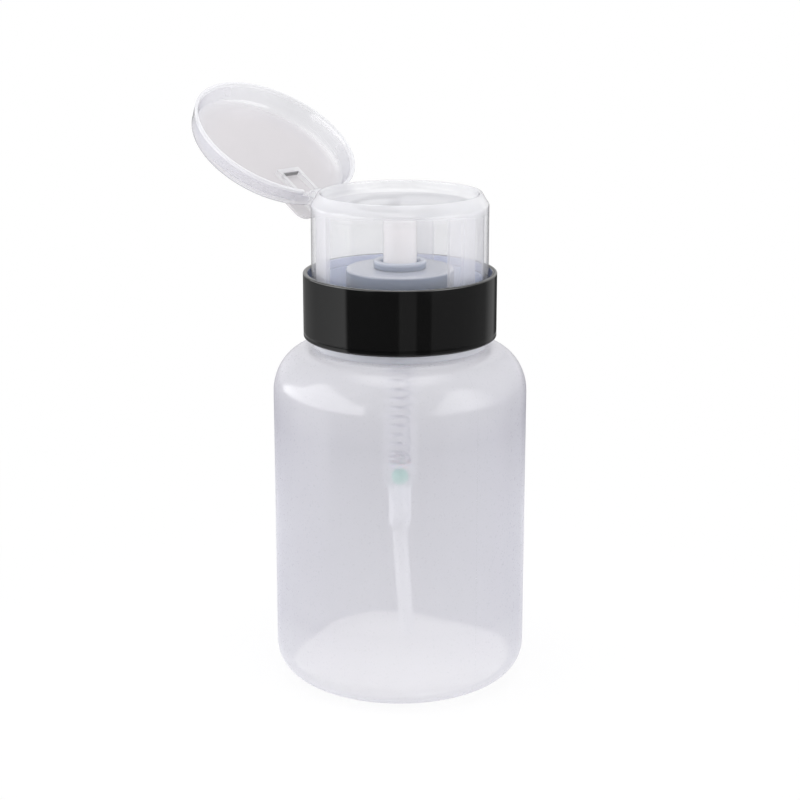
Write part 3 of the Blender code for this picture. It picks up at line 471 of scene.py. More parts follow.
def see_through(
    name, colour, clear, scatter, roughness, gloss=0.05, glow=None, below=(), slanted=None, upright=None,
    lift=0.0, mirror=1.0
):
    """Translucent plastic wall. At a right angle one surface passes the share clear straight on.

    At a slant the way through the wall is longer, so it passes less. A share scatter comes through blurred,
    in the colour glow. Without gloss the surface mirrors nothing, and with it at most the share mirror. Where
    it is seen at a slant, it tends to the colour slanted, and where upright is given, only between its two
    ranges of height. A share of its colour is given off as light, a painted glow, though no lamp is there.
    Each entry of below changes colour, clear and this painted glow under its stretch of height.
    """
    n = Look(name)
    height = n.split(n.place)["Z"]
    tint = n.marks(colour, shade=0.03, scale=WALL_MARKS)
    tint, passed, painted_glow_strength = change_below(n, height, below, tint, clear, lift)
    layer = n.new("ShaderNodeLayerWeight", blend=0.5)
    if slanted:
        share = n.maths("POWER", layer.outputs["Facing"], SLANT_POWER)
        if upright:
            foot, head = upright
            share = n.maths("MULTIPLY", share, n.scale(height, *foot))
            share = n.maths("MULTIPLY", share, n.scale(height, *head, 1.0, 0.0))
        tint = n.blend(share, tint, slanted)
    slant = n.maths("MAXIMUM", n.maths("SUBTRACT", 1.0, layer.outputs["Facing"]), LEAST_SLANT)
    straight = n.maths("POWER", passed, n.maths("DIVIDE", 1.0, slant))
    # Painted glow: the wall gives off its own colour as light, though it is no lamp.
    n.put(base_color=tint, emission_color=tint, emission_strength=painted_glow_strength)
    n.put(alpha=n.maths("SUBTRACT", 1.0, straight))
    n.moulded_grain(n.noise(WALL_GRAIN, detail=2.0), roughness, bump=0.1)
    blurred = n.new("ShaderNodeBsdfTranslucent", color=glow or colour)
    surface = n.mix_shader(scatter, n.shader, blurred)
    if gloss is not None:
        shine = n.new("ShaderNodeBsdfGlossy", roughness=gloss)
        fresnel = n.new("ShaderNodeFresnel", ior=PLASTIC_IOR)
        front = n.maths("SUBTRACT", 1.0, n.new("ShaderNodeNewGeometry").outputs["Backfacing"])
        mirrored = n.maths("MINIMUM", n.maths("MULTIPLY", fresnel.outputs[0], front), mirror)
        surface = n.mix_shader(mirrored, surface, shine)
    n.feed(n.output.inputs["Surface"], surface.outputs[0])
    return n.material


def spring_steel():
    """Drawn wire with fine marks."""
    n = Look("drawn_steel_wire")
    fine = n.noise(WIRE_GRAIN, detail=3.0)
    metal = n.ramp(fine, ((MARKS_LOW, (0.8, 0.8, 0.83)), (MARKS_HIGH, (0.95, 0.95, 0.97))))
    n.put(metallic=1.0, base_color=metal)
    n.grain(fine, rough_low=0.4, rough_high=0.55, bump=0.2, depth=WIRE_DEPTH)
    return n.material


def ball_glass(low, high):
    """Green glass, painted darker above and lighter below: the light and shade seen through one clear ball.
    """
    n = Look("green_glass_ball")
    rise = n.scale(n.split(n.place)["Z"], low.z, high.z)
    green = n.ramp(rise, ((0.15, (0.7, 1.0, 0.86)), (0.75, (0.48, 0.9, 0.74))))
    n.put(base_color=green, roughness=0.1, alpha=0.85)
    return n.material


def paint(obj, material):
    obj.data.materials.clear()
    obj.data.materials.append(material)


def dress(obj, body, material, slot, *nodes):
    """Gives a new piece its body and material, and hides the CAD nodes that it stands for. Its slot is not
    used.
    """
    paint(obj, material)
    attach(obj, body)
    if nodes:
        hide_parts(*nodes)


def accent(obj, material, chosen):
    """Gives a second material to the faces that are chosen."""
    obj.data.materials.append(material)
    for face in obj.data.polygons:
        if chosen(face):
            face.material_index = 1


# Sizes read from the frame


def extent(node):
    """A node's reach to the side, and its lowest and highest point."""
    low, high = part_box(node)
    return high.y, low.z, high.z


def joint(name):
    return next(j for j in frame["joints"] if j["name"] == name)


BODY_R, _, NECK_TOP = extent("bottle")
SKIRT_R, SKIRT_Z, TOWER_TOP = extent("threaded_closure")
SHROUD_R, SHROUD_Z, SHROUD_TOP = extent("collar_shroud")
CUP_R, CUP_Z, CUP_TOP = extent("press_cup")
GUIDE_CAP_R, GUIDE_Z, GUIDE_TOP = extent("stem_guide")
STEM_R, STEM_Z, STEM_TOP = extent("piston_stem")
FLANGE_R, BARREL_Z, FLANGE_TOP = extent("pump_cylinder")
SPRING_R, SPRING_Z, SPRING_TOP = extent("pump_spring")
TUBE_TOP = extent("dip_tube")[2]
LID_R = extent("flip_lid")[0]
HINGE_X, _, HINGE_Z = joint("lid_hinge")["pos_m"]
LID_OPEN_DEG = joint("lid_hinge")["range_deg"][0]


# Bottle

BASE_FILLET = 8.25 * MM
SHOULDER_Z = 75 * MM
SHOULDER_RISE = 11.5 * MM
SHOULDER_RUN = 10 * MM
NECK_R = 19.6 * MM
NECK_BORE = 17.6 * MM
NECK_ROUNDING = 0.5 * MM
WALL = 1 * MM
FLOOR_Z = 1.9 * MM
BODY_ROWS = 6

# Where the shoulder's quarter ellipses end, just before the neck
SHOULDER_END_DEG = 86
INNER_SHOULDER_END_DEG = 84

# The bottle stands on a ring round a raised panel. The step between them: (distance from the ring, height)
RING_WIDTH = 3.4 * MM
PANEL_Z = 0.6 * MM
PANEL_STEP = ((2.2 * MM, PANEL_Z), (1.5 * MM, 0.9 * PANEL_Z), (0.4 * MM, 0.1 * MM), (0, 0))

# Mould lines: their headings, how far they follow the roundings of foot and shoulder, and how far they stand
# out and reach to each side
SEAM_HEADINGS_DEG = (-12, 168)
SEAM_END_DEG = 60
SEAM_PROUD = 0.05 * MM
SEAM_HALF = 0.13 * MM


def make_bottle(material, inner_material):
    ring_out = BODY_R - BASE_FILLET
    ring_in = ring_out - RING_WIDTH
    shoulder_r = BODY_R - SHOULDER_RUN
    neck_z = SHOULDER_Z + SHOULDER_RISE
    lip_z = NECK_TOP - NECK_ROUNDING
    inner_r = BODY_R - WALL
    inner_shoulder_r = shoulder_r - WALL
    inner_neck_z = neck_z - WALL + 0.8 * MM
    bend = BASE_FILLET - WALL
    profile = [(0, PANEL_Z)] + [(ring_in - inset, z) for inset, z in PANEL_STEP]
    profile += fillet((ring_out, BASE_FILLET), BASE_FILLET, -90, LARGE_ROUND_STEPS)
    row = (SHOULDER_Z - BASE_FILLET) / BODY_ROWS
    profile += [(BODY_R, BASE_FILLET + row * i) for i in range(1, BODY_ROWS)]
    rounding = (SHOULDER_RUN, SHOULDER_RISE)
    profile += arc((shoulder_r, SHOULDER_Z), rounding, 0, SHOULDER_END_DEG, SHOULDER_STEPS)
    profile += [(NECK_R + NECK_ROUNDING, neck_z), (NECK_R, neck_z + NECK_ROUNDING)]
    profile += fillet((NECK_R - NECK_ROUNDING, lip_z), NECK_ROUNDING, 0)
    profile += fillet((NECK_BORE + NECK_ROUNDING, lip_z), NECK_ROUNDING, 90)
    profile += [(NECK_BORE, inner_neck_z)]
    rounding = (inner_r - inner_shoulder_r, SHOULDER_RISE - WALL)
    profile += arc((inner_shoulder_r, SHOULDER_Z), rounding, INNER_SHOULDER_END_DEG, 0, SHOULDER_STEPS)
    profile += arc((inner_r - bend, FLOOR_Z + bend), (bend, bend), 0, -90, LARGE_ROUND_STEPS)
    profile += [(0, FLOOR_Z)]
    bottle = turned("bottle_shell", profile, FINE_SIDES, closed=False)
    dress(bottle, "bottle_body", material, "natural_plastic", "bottle")
    middle = Vector((0, 0, NECK_TOP / 2))
    accent(bottle, inner_material, lambda face: face.normal.dot(middle - face.center) > 0)


def make_parting_lines(material):
    """The two fine mould lines, up the body and over the shoulder."""
    run = arc((BODY_R - BASE_FILLET, BASE_FILLET), (BASE_FILLET, BASE_FILLET), -SEAM_END_DEG, 0, 8)
    run += arc((BODY_R - SHOULDER_RUN, SHOULDER_Z), (SHOULDER_RUN, SHOULDER_RISE), 0, SEAM_END_DEG, 10)
    for index, heading_deg in enumerate(SEAM_HEADINGS_DEG):
        out = polar(1, math.radians(heading_deg))
        across = Vector((-out.y, out.x, 0)) * SEAM_HALF
        mesh = bmesh.new()
        rows = []
        for i, (r, z) in enumerate(run):
            before, after = run[max(i - 1, 0)], run[min(i + 1, len(run) - 1)]
            along = Vector((after[0] - before[0], after[1] - before[1])).normalized()
            proud = (out * along.y - Vector((0, 0, along.x))) * SEAM_PROUD
            middle = out * r + Vector((0, 0, z))
            corners = (middle - proud + across, middle + proud, middle - proud - across)
            rows.append([mesh.verts.new(corner) for corner in corners])
        loft(mesh, rows)
        dress(mesh_object(f"parting_line_{index}", mesh), "bottle_body", material, "natural_plastic")


# Pump, seen through the bottle and the cup

TUBE_R = 1.95 * MM
TUBE_BORE = 1.25 * MM
TUBE_Z = 8.5 * MM
TUBE_BOW = 2.1 * MM
TUBE_BOW_POWER = 1.4
TUBE_HEADING_DEG = 41
TUBE_STEPS = 40

WIRE_R = 0.3 * MM
SPRING_TURNS = 12
CLOSED_TURNS = 1.25
CLOSED_PITCH = 2.3 * WIRE_R
STEPS_PER_TURN = 32


def make_cylinder(material):
    """From the tube's socket up outside to the flange, and down through bore, ball chamber and port."""
    socket_r, socket_top = TUBE_R + 0.3 * MM, BARREL_Z + 7.1 * MM
    mouth_r, mouth_top = socket_r + 0.15 * MM, BARREL_Z + 0.3 * MM
    boss_r, boss_top = 2.85 * MM, BARREL_Z + 9.8 * MM
    ledge_r, ledge_z = 3.5 * MM, boss_top + 0.5 * MM
    slim_r, slim_z, slim_top = 4.3 * MM, boss_top + 1.4 * MM, FLANGE_TOP - 21.2 * MM
    barrel_r, barrel_z, barrel_top = slim_r + 0.25 * MM, slim_top + 0.4 * MM, FLANGE_TOP - 6.2 * MM
    cup_r, cup_z, cup_bore = 7.3 * MM, barrel_top - 0.5 * MM, 6.2 * MM
    flange_z = FLANGE_TOP - 0.9 * MM
    bore, chamber_r, chamber_z, chamber_top = 3.3 * MM, 2.9 * MM, BARREL_Z + 12 * MM, BARREL_Z + 15.4 * MM
    port_r, port_top = 1.2 * MM, BARREL_Z + 10.3 * MM
    profile = [(mouth_r, BARREL_Z)]
    profile += fillet((boss_r - CHAMFER, BARREL_Z + CHAMFER), CHAMFER, -90, 3)
    profile += [(boss_r, boss_top), (ledge_r, ledge_z), (slim_r, slim_z), (slim_r, slim_top)]
    profile += [(barrel_r, barrel_z), (barrel_r, barrel_top - 1.4 * MM)]
    profile += [(cup_r - 0.6 * MM, cup_z - 0.5 * MM), (cup_r, cup_z), (cup_r, flange_z)]
    profile += [(FLANGE_R - CHAMFER, flange_z), (FLANGE_R, flange_z + CHAMFER)]
    profile += [(FLANGE_R, FLANGE_TOP - CHAMFER), (FLANGE_R - CHAMFER, FLANGE_TOP)]
    profile += [(cup_bore, FLANGE_TOP), (cup_bore, barrel_top), (bore, barrel_top), (bore, chamber_top)]
    profile += [(chamber_r, chamber_top), (chamber_r, chamber_z), (port_r, port_top), (port_r, socket_top)]
    profile += [(socket_r, socket_top), (socket_r, mouth_top)]
    dress(turned("pump_barrel", profile, INNER_SIDES), "pump", material, "milky_plastic", "pump_cylinder")


def make_tube(material):
    """The dip tube: straight in its socket, then bowed towards the camera's right."""
    heading = math.radians(TUBE_HEADING_DEG)
    just_above = BARREL_Z + 0.01 * MM
    centres = [Vector((0, 0, TUBE_TOP)), Vector((0, 0, just_above))]
    for i in range(TUBE_STEPS + 1):
        along = i / TUBE_STEPS
        z = BARREL_Z - (BARREL_Z - TUBE_Z) * along
        centres.append(polar(TUBE_BOW * along ** TUBE_BOW_POWER, heading, z))
    suction = tube("suction_tube", centres, TUBE_R, TUBE_BORE, ROD_SIDES)
    dress(suction, "pump", material, "milky_plastic", "dip_tube")


def make_spring(material):
    """Compression spring: closed coils at both ends, open coils between, in one wire."""
    z, high = SPRING_Z + WIRE_R, SPRING_TOP - WIRE_R
    open_turns = SPRING_TURNS - 2 * CLOSED_TURNS
    open_pitch = (high - z - 2 * CLOSED_TURNS * CLOSED_PITCH) / open_turns
    centres = []
    for i in range(SPRING_TURNS * STEPS_PER_TURN + 1):
        turn = i / STEPS_PER_TURN
        centres.append(polar(SPRING_R - WIRE_R, FULL_TURN * turn, z))
        is_open = CLOSED_TURNS <= turn < SPRING_TURNS - CLOSED_TURNS
        z += (open_pitch if is_open else CLOSED_PITCH) / STEPS_PER_TURN
    spring = rod("compression_spring", centres, WIRE_R, WIRE_SIDES)
    dress(spring, "pump", material, "spring_steel", "pump_spring")
    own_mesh(spring)


def make_ball(name, node, material, body, slot_name):
    low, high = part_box(node)
    mesh = bmesh.new()
    bmesh.ops.create_uvsphere(
        mesh, u_segments=BALL_SIDES, v_segments=BALL_SIDES // 2, radius=(high.z - low.z) / 2,
        matrix=Matrix.Translation((low + high) / 2)
    )
    dress(mesh_object(name, mesh), body, material, slot_name, node)


def make_guide(material):
    """A bush with a cap. The stem slides in its bore, and its foot reaches in further."""
    bore = STEM_R + 0.4 * MM
    mouth, bush_r, foot_bore = bore + 0.5 * MM, bore + 1.3 * MM, 2.7 * MM
    cap_z, foot_top = GUIDE_TOP - 1.7 * MM, GUIDE_Z + 1 * MM
    edge = 0.35 * MM
    profile = [(foot_bore, GUIDE_Z), (bush_r, GUIDE_Z), (bush_r, cap_z), (GUIDE_CAP_R, cap_z)]
    profile += fillet((GUIDE_CAP_R - edge, GUIDE_TOP - edge), edge, 0)
    profile += fillet((mouth + edge, GUIDE_TOP - edge), edge, 90)
    profile += [(mouth, cap_z), (bore, cap_z - 0.4 * MM), (bore, foot_top), (foot_bore, foot_top)]
    dress(turned("stem_bush", profile, INNER_SIDES), "pump", material, "milky_plastic", "stem_guide")


# Closure and collar

CLOSURE_BORE = NECK_R + 1.5 * MM
DECK_Z = SKIRT_Z + 8.6 * MM
DECK_TOP = DECK_Z + 1.2 * MM
THREAD_PITCH = 3 * MM
# The moat wall's middle is on the side away from the camera.
MOAT_MIDDLE_DEG = 132
MOAT_SPAN_DEG = 134
MOAT_STEPS = 80


def make_closure(material):
    skirt = SKIRT_R - 0.75 * MM
    step_z = SKIRT_Z + 3.3 * MM
    tower, tower_bore, hole = 13.5 * MM, 12.3 * MM, 6.2 * MM
    roof_z = TOWER_TOP - 1.2 * MM
    foot, root, edge = 0.25 * MM, 0.5 * MM, 0.6 * MM
    profile = [(CLOSURE_BORE + 0.3 * MM, SKIRT_Z)]
    profile += fillet((skirt - foot, SKIRT_Z + foot), foot, -90, 3)
    profile += [(skirt, step_z), (SKIRT_R, step_z), (SKIRT_R, DECK_TOP), (tower + root, DECK_TOP)]
    profile += arc((tower + root, DECK_TOP + root), (root, root), 270, 180, 4)
    profile += fillet((tower - edge, TOWER_TOP - edge), edge, 0)
    profile += [(hole + CHAMFER, TOWER_TOP), (hole, TOWER_TOP - CHAMFER), (hole, roof_z)]
    profile += [(tower_bore, roof_z), (tower_bore, DECK_Z), (CLOSURE_BORE, DECK_Z)]
    profile += [(CLOSURE_BORE, SKIRT_Z + 0.3 * MM)]
    dress(turned("screw_closure", profile), "closure", material, "milky_plastic", "threaded_closure")


def make_moat_wall(material):
    """The closure's own thin wall, drawn only on the side away from the camera, behind the tower, so that its
    painted glow shows there. To its left and right it is left out, and the collar's black inside stands for
    the shade there.
    """
    outer = SHROUD_R - 1.25 * MM
    inner = outer - 0.35 * MM
    low, high = DECK_TOP + 0.05 * MM, SHROUD_TOP - 0.05 * MM
    middle, span = math.radians(MOAT_MIDDLE_DEG), math.radians(MOAT_SPAN_DEG)
    outline = sector(outer, inner, middle, span, low, MOAT_STEPS)
    dress(prism("moat_wall", outline, (0, 0, high - low)), "closure", material, "milky_plastic")


def make_threads(neck_material, closure_material):
    neck = thread_ridge(
        "neck_thread", NECK_R, height=0.9 * MM, width=1.3 * MM, z_start=NECK_TOP - 4.7 * MM,
        pitch=THREAD_PITCH, turns=1.2
    )
    dress(neck, "bottle_body", neck_material, "natural_plastic")
    cap = thread_ridge(
        "closure_thread", CLOSURE_BORE, height=0.8 * MM, width=1.1 * MM, z_start=SKIRT_Z + 3 * MM,
        pitch=THREAD_PITCH, turns=1.1, inward=True
    )
    dress(cap, "closure", closure_material, "milky_plastic")


def make_shroud(material, rim_highlight_material):
    """The collar, with a groove near its foot, a lip under the closure and a snap bead in its bore."""
    bore, edge, rim_edge = SHROUD_R - 1.2 * MM, 0.5 * MM, 0.35 * MM
    lip, lip_top = bore - 0.75 * MM, SHROUD_Z + 0.8 * MM
    groove_r, groove_z = SHROUD_R - 0.2 * MM, SHROUD_Z + 1.1 * MM
    snap_out, snap_half, snap_z = 0.45 * MM, 0.4 * MM, DECK_TOP + 0.7 * MM
    profile = [(lip, SHROUD_Z)]
    profile += fillet((SHROUD_R - edge, SHROUD_Z + edge), edge, -90)
    profile += [(SHROUD_R, groove_z), (groove_r, groove_z + 0.15 * MM)]
    profile += [(groove_r, groove_z + 0.35 * MM), (SHROUD_R, groove_z + 0.5 * MM)]
    profile += fillet((SHROUD_R - rim_edge, SHROUD_TOP - rim_edge), rim_edge, 0)
    profile += fillet((bore + rim_edge, SHROUD_TOP - rim_edge), rim_edge, 90)
    profile += [(bore, snap_z + snap_half)] + arc((bore, snap_z), (snap_out, snap_half), 90, 270)
    profile += [(bore, lip_top), (lip, lip_top)]
    ring = turned("collar_ring", profile, COLLAR_SIDES)
    dress(ring, "closure", material, "gloss_black_plastic", "collar_shroud")
    # The rim's top faces get a black that mirrors more strongly: a painted highlight along the rim.
    rim_z = SHROUD_TOP - rim_edge
    least_rise = 0.3
    accent(ring, rim_highlight_material, lambda face: face.normal.z > least_rise and face.center.z > rim_z)


# Press head

CUP_BORE = CUP_R - 1.2 * MM
CUP_ROWS = 4
LEG_COUNT = 3
LEG_DEPTH = 1.1 * MM
LEG_SPAN_DEG = 26
LEG_STEPS = 12
EAR_IN = 4.2 * MM
EAR_OUT = 6.8 * MM
EAR_R = 1.5 * MM
PIN_R = 0.8 * MM
PIN_CLEARANCE = 0.3 * MM


def make_cup(material):
    """Up the outer wall, over the rim's bead, down the dish and its spigot, and back under them."""
    edge, shoulder = 1.1 * MM, CUP_TOP - 2.1 * MM
    bead_r, bead_half = 20.6 * MM, 0.5 * MM
    ledge_z, ledge_end = CUP_TOP - 2.8 * MM, 13 * MM
    bowl_r, bowl_run, bowl_rise = bead_r - 2.7 * MM, 1.7 * MM, 1.3 * MM
    slope_r, dish_r, dish_z = 9.2 * MM, 8.4 * MM, CUP_TOP - 3.8 * MM
    under = dish_z - 1.2 * MM
    spigot_r, spigot_bore, spigot_z = 2.3 * MM, 1.3 * MM, under - 4.6 * MM
    profile = [(CUP_BORE + CHAMFER, CUP_Z), (CUP_R - CHAMFER, CUP_Z), (CUP_R, CUP_Z + CHAMFER)]
    profile += [(CUP_R, CUP_Z + (shoulder - CUP_Z) * i / CUP_ROWS) for i in range(1, CUP_ROWS)]
    profile += arc((CUP_R - edge, shoulder - edge), (edge, edge), 0, 55)
    profile += arc((bead_r - bead_half, CUP_TOP - bead_half), (bead_half, bead_half), 40, 180, 10)
    profile += arc((bowl_r, ledge_z + bowl_rise), (bowl_run, bowl_rise), 0, -90, 10)
    profile += [(ledge_end, ledge_z - 0.25 * MM), (slope_r, dish_z + 0.4 * MM), (dish_r, dish_z + 0.02 * MM)]
    profile += [(spigot_bore + 0.3 * MM, dish_z), (spigot_bore, dish_z - 0.3 * MM), (spigot_bore, spigot_z)]
    profile += [(spigot_r - CHAMFER, spigot_z), (spigot_r, spigot_z + CHAMFER), (spigot_r, under - 0.4 * MM)]
    profile += [(spigot_r + 0.4 * MM, under), (dish_r, under), (slope_r, under + 0.4 * MM)]
    profile += [(bowl_r - 0.3 * MM, ledge_z - 1.2 * MM), (CUP_BORE - 0.7 * MM, shoulder - 1.5 * MM)]
    profile += [(CUP_BORE, shoulder - 2.2 * MM), (CUP_BORE, CUP_Z + CHAMFER)]
    cup = turned("cup_shell", profile, FINE_SIDES)
    apply_booleans(cup, [(ears(), "UNION"), (ear_holes(), "DIFFERENCE")])
    dress(cup, "press_head", material, "clear_plastic", "press_cup")


def make_legs(material):
    """Three thick, whiter stretches on the inside of the cup's wall."""
    outer = CUP_BORE + 0.1 * MM
    low, high = CUP_Z + 0.4 * MM, CUP_TOP - 3.9 * MM
    span = math.radians(LEG_SPAN_DEG)
    for index in range(LEG_COUNT):
        middle = FULL_TURN * index / LEG_COUNT
        outline = sector(outer, outer - LEG_DEPTH, middle, span, low, LEG_STEPS)
        leg = prism(f"cup_leg_{index}", outline, (0, 0, high - low))
        dress(leg, "press_head", material, "clear_plastic")


def ears():
    """The cup's two ears: round at the pin's hole, with a root that reaches into the wall."""
    root, foot_z = -(CUP_R - 1.3 * MM), HINGE_Z - 3.9 * MM
    outline = arc((HINGE_X, HINGE_Z), (EAR_R, EAR_R), 0, 180, 16)
    outline += arc((HINGE_X, foot_z + EAR_R), (EAR_R, EAR_R), 180, 225, 6)
    outline += [(root, foot_z), (root, HINGE_Z - EAR_R / 2)]
    return side_prisms("ears", outline, EAR_IN, EAR_OUT)


def ear_holes():
    hole_r = PIN_R + PIN_CLEARANCE
    return side_rods("ear_holes", (HINGE_X, HINGE_Z), hole_r, EAR_IN - 0.5 * MM, EAR_OUT + 1 * MM)


def make_stem(material):
    """A thin rod below for the seal, a thicker one above it, and the tube with the outlet valve's seat."""
    rod_r, rod_top, neck_r, neck_top = 1.6 * MM, STEM_Z + 5.7 * MM, 2.4 * MM, STEM_Z + 15.8 * MM
    bore, valve_bore, seat = 1 * MM, 2.6 * MM, STEM_TOP - 9 * MM
    edge = 0.3 * MM
    profile = [(bore, STEM_Z), (rod_r, STEM_Z), (rod_r, rod_top), (neck_r, rod_top), (neck_r, neck_top)]
    profile += [(STEM_R - edge, neck_top), (STEM_R, neck_top + edge), (STEM_R, STEM_TOP - edge)]
    profile += [(STEM_R - edge, STEM_TOP), (valve_bore, STEM_TOP)]
    profile += [(valve_bore, seat + 1.6 * MM), (bore, seat)]
    dress(turned("stem_tube", profile, INNER_SIDES), "press_head", material, "white_plastic", "piston_stem")


# Lid

# It is drawn closed about its hinge axis, then turned open like the CAD one. Its wall goes straight up for a
# share of its height, leaning in by a share of the way to the roof's edge, and is rounded from there.
RIM_Z = 0.6 * MM
LID_HEIGHT = 6.6 * MM
LID_ROOF_R = 17.8 * MM
STRAIGHT_SHARE = 0.6
LEAN_SHARE = 0.16
CROWN = 0.5 * MM
CROWN_SHARES = (0.8, 0.6, 0.4, 0.2, 0)
LID_WALL = 1 * MM
ROOF_Z = RIM_Z + LID_HEIGHT
BRACKET_TOP = ROOF_Z - 0.3 * MM
CHEEK_IN = 2.8 * MM
CHEEK_OUT = 3.8 * MM
BAR_X = 14.2 * MM
BAR_END = 15.6 * MM
BAR_Z = 5 * MM


def turn_open(obj):
    obj.location = (HINGE_X, 0, HINGE_Z)
    obj.rotation_euler = (0, math.radians(LID_OPEN_DEG), 0)


def crown(radius, z):
    """A slightly domed roof, from near its edge to the middle."""
    return [(radius * share, z + CROWN * (1 - share * share)) for share in CROWN_SHARES]


def make_lid(material, bracket_material):
    side_z = RIM_Z + STRAIGHT_SHARE * LID_HEIGHT
    rounding = (1 - LEAN_SHARE) * (LID_R - LID_ROOF_R)
    outer = [(LID_R - CHAMFER, RIM_Z), (LID_R, RIM_Z + CHAMFER)]
    outer += arc((LID_ROOF_R, side_z), (rounding, ROOF_Z - side_z), 0, 90, LARGE_ROUND_STEPS)
    outer += crown(LID_ROOF_R, ROOF_Z)
    in_r, in_roof, in_rim = LID_ROOF_R - LID_WALL / 2, ROOF_Z - LID_WALL, LID_R - LID_WALL
    inner = [(in_rim + CHAMFER, RIM_Z), (in_rim, RIM_Z + 0.3 * MM)]
    inner += arc((in_r, side_z), (rounding - LID_WALL / 2, in_roof - side_z), 0, 90, LARGE_ROUND_STEPS)
    inner += crown(in_r, in_roof)
    shell = spin_mesh(list(reversed(outer)) + inner, FINE_SIDES, closed=False)
    bmesh.ops.translate(shell, verts=shell.verts, vec=(-HINGE_X, 0, 0))
    lid = mesh_object("lid_shell", shell)
    pins = side_rods("pins", (0, 0), PIN_R, 3.5 * MM, 6.5 * MM)
    added = [(piece, "UNION") for piece in (cheeks(), cross_bar(), thumb_tab(), pins)]
    apply_booleans(lid, [(notch(), "DIFFERENCE")] + added)
    turn_open(lid)
    dress(lid, "lid", material, "clear_plastic", "flip_lid")

    def on_bracket(face):
        x, y, z = face.center
        return x < BAR_END + 0.1 * MM and abs(y) < CHEEK_OUT + 0.05 * MM and z < in_roof - 0.1 * MM

    accent(lid, bracket_material, on_bracket)


def notch():
    """Room for the ears in the lid's rim."""
    reach, half, low, high = 4.4 * MM, 7.3 * MM, RIM_Z - 1 * MM, RIM_Z + 1.6 * MM
    outline = [(0, -half, low), (reach, -half, low), (reach, half, low), (0, half, low)]
    return prism("notch", outline, (0, 0, high - low))


def cheeks():
    """The bracket's two sides: round at the pins, with an arm along the roof to the bar."""
    eye = 1.15 * MM
    outline = arc((0, 0), (eye, eye), 180, 360, 14)
    outline += [(2.1 * MM, 3.1 * MM), (4.4 * MM, 3.1 * MM), (6.2 * MM, BAR_Z), (BAR_END, BAR_Z)]
    outline += [(BAR_END, BRACKET_TOP), (-0.55 * MM, BRACKET_TOP)]
    outline += [(-2.6 * MM, 1.62 * MM), (-1.93 * MM, 0.63 * MM)]
    return side_prisms("cheeks", outline, CHEEK_IN, CHEEK_OUT)


def bar(name, x_low, x_high, z_low, z_high, half):
    """A block across the lid, centred on Y = 0."""
    outline = [(x_low, z_low), (x_high, z_low), (x_high, z_high), (x_low, z_high)]
    return prism(name, [(x, -half, z) for x, z in outline], (0, 2 * half, 0))


def cross_bar():
    return bar("cross_bar", BAR_X, BAR_END, BAR_Z, BRACKET_TOP, CHEEK_IN + 0.3 * MM)


def make_bar_shade(material):
    """A thin dark plate in front of the bar's face towards the hinge: painted shade for that face in shadow.
    """
    gap, thickness, low, high = 0.05 * MM, 0.25 * MM, BAR_Z + 0.2 * MM, BAR_Z + 1.15 * MM
    shade = bar("bar_shade", BAR_X - gap - thickness, BAR_X - gap, low, high, CHEEK_IN - 0.1 * MM)
    turn_open(shade)
    dress(shade, "lid", material, "clear_plastic")


def thumb_tab():
    """The plate that stands out from the roof over the hinge, with round corners at its end."""
    half, reach, root, corner = 8.1 * MM, 1.1 * MM, 7.8 * MM, 2.5 * MM
    high, thickness = ROOF_Z - 0.05 * MM, 0.8 * MM
    outline = [(root, half), (root, -half)]
    for side, start in ((-1, 270), (1, 180)):
        outline += arc((corner - reach, side * (half - corner)), (corner, corner), start, start - 90, 10)
    return prism("thumb_tab", [(x, y, high - thickness) for x, y in outline], (0, 0, thickness))


# Studio

# Reflections of the studio: (angle counted from the camera to its right, brightness), first the band that
# upright walls mirror, then the one that the shoulder mirrors
LOW_BAND = (
    (-180, 0.1), (-172, 0.2), (-169, 0.06), (-166, 0.06), (-162, 0.3), (-151, 0.22), (-118, 0.36),
    (-68, 0.95), (-64, 0.06), (-2, 0.06), (0, 0.24), (18, 0.24), (20, 0.06), (36, 0.06), (38, 0.22),
    (108, 0.22), (119, 0.2), (131, 0.4), (145, 0.4), (154, 0.06), (170, 0.06), (180, 0.1),
)
HIGH_BAND = (
    (-180, 0.8), (-150, 0.8), (-133, 0.5), (-129, 3.4), (-34, 3.2), (-30, 0.3), (24, 0.3), (36, 2.6),
    (66, 3.2), (96, 0.7), (140, 0.7), (155, 0.8), (176.8, 0.8), (177.8, 0.2), (180, 0.2),
)
# How far up the second band reaches: the sine of its height angle, plus TOP_SHIFT
TOP_BAND = (
    (-180, 1.2), (-150, 1.2), (-131, 0.3), (-104, 0.54), (-92, 0.96), (-58, 0.74), (-34, 0.5), (-28, 1.2),
    (22, 1.2), (25, 0.3), (36, 0.55), (52, 0.95), (68, 0.95), (92, 0.65), (100, 1.2), (180, 1.2),
)
TOP_SHIFT = 0.3
TOP_EDGE = 1 / 12

# Sines of the height angles between which the first band gives way to the second, and the second to plain
# grey and to the bright zenith
HIGH_BAND_START = (-0.08, -0.03)
PLAIN_START = (0.6, 0.6 + 1 / 6)
ZENITH_START = (0.86, 0.96)
BEYOND_GREY = 0.6
PLAIN_GREY = 0.65
ZENITH_WHITE = 2.6
SOFT_LIGHT = (0.82, 0.83, 0.86)
WHITE = (1.0, 1.0, 1.0)

# The floor glows for the camera, by a share that grows between the first two radii, so that the object's
# shadow stays. It fades out between the last two.
FLOOR_RADIUS = 280 * MM
FLOOR_SIDES = 96
FLOOR_DROP = 0.02 * MM
GLOW_RADII = (30 * MM, 140 * MM)
GLOW_SHARES = (0.88, 0.99)
FADE_RADII = (150 * MM, 270 * MM)

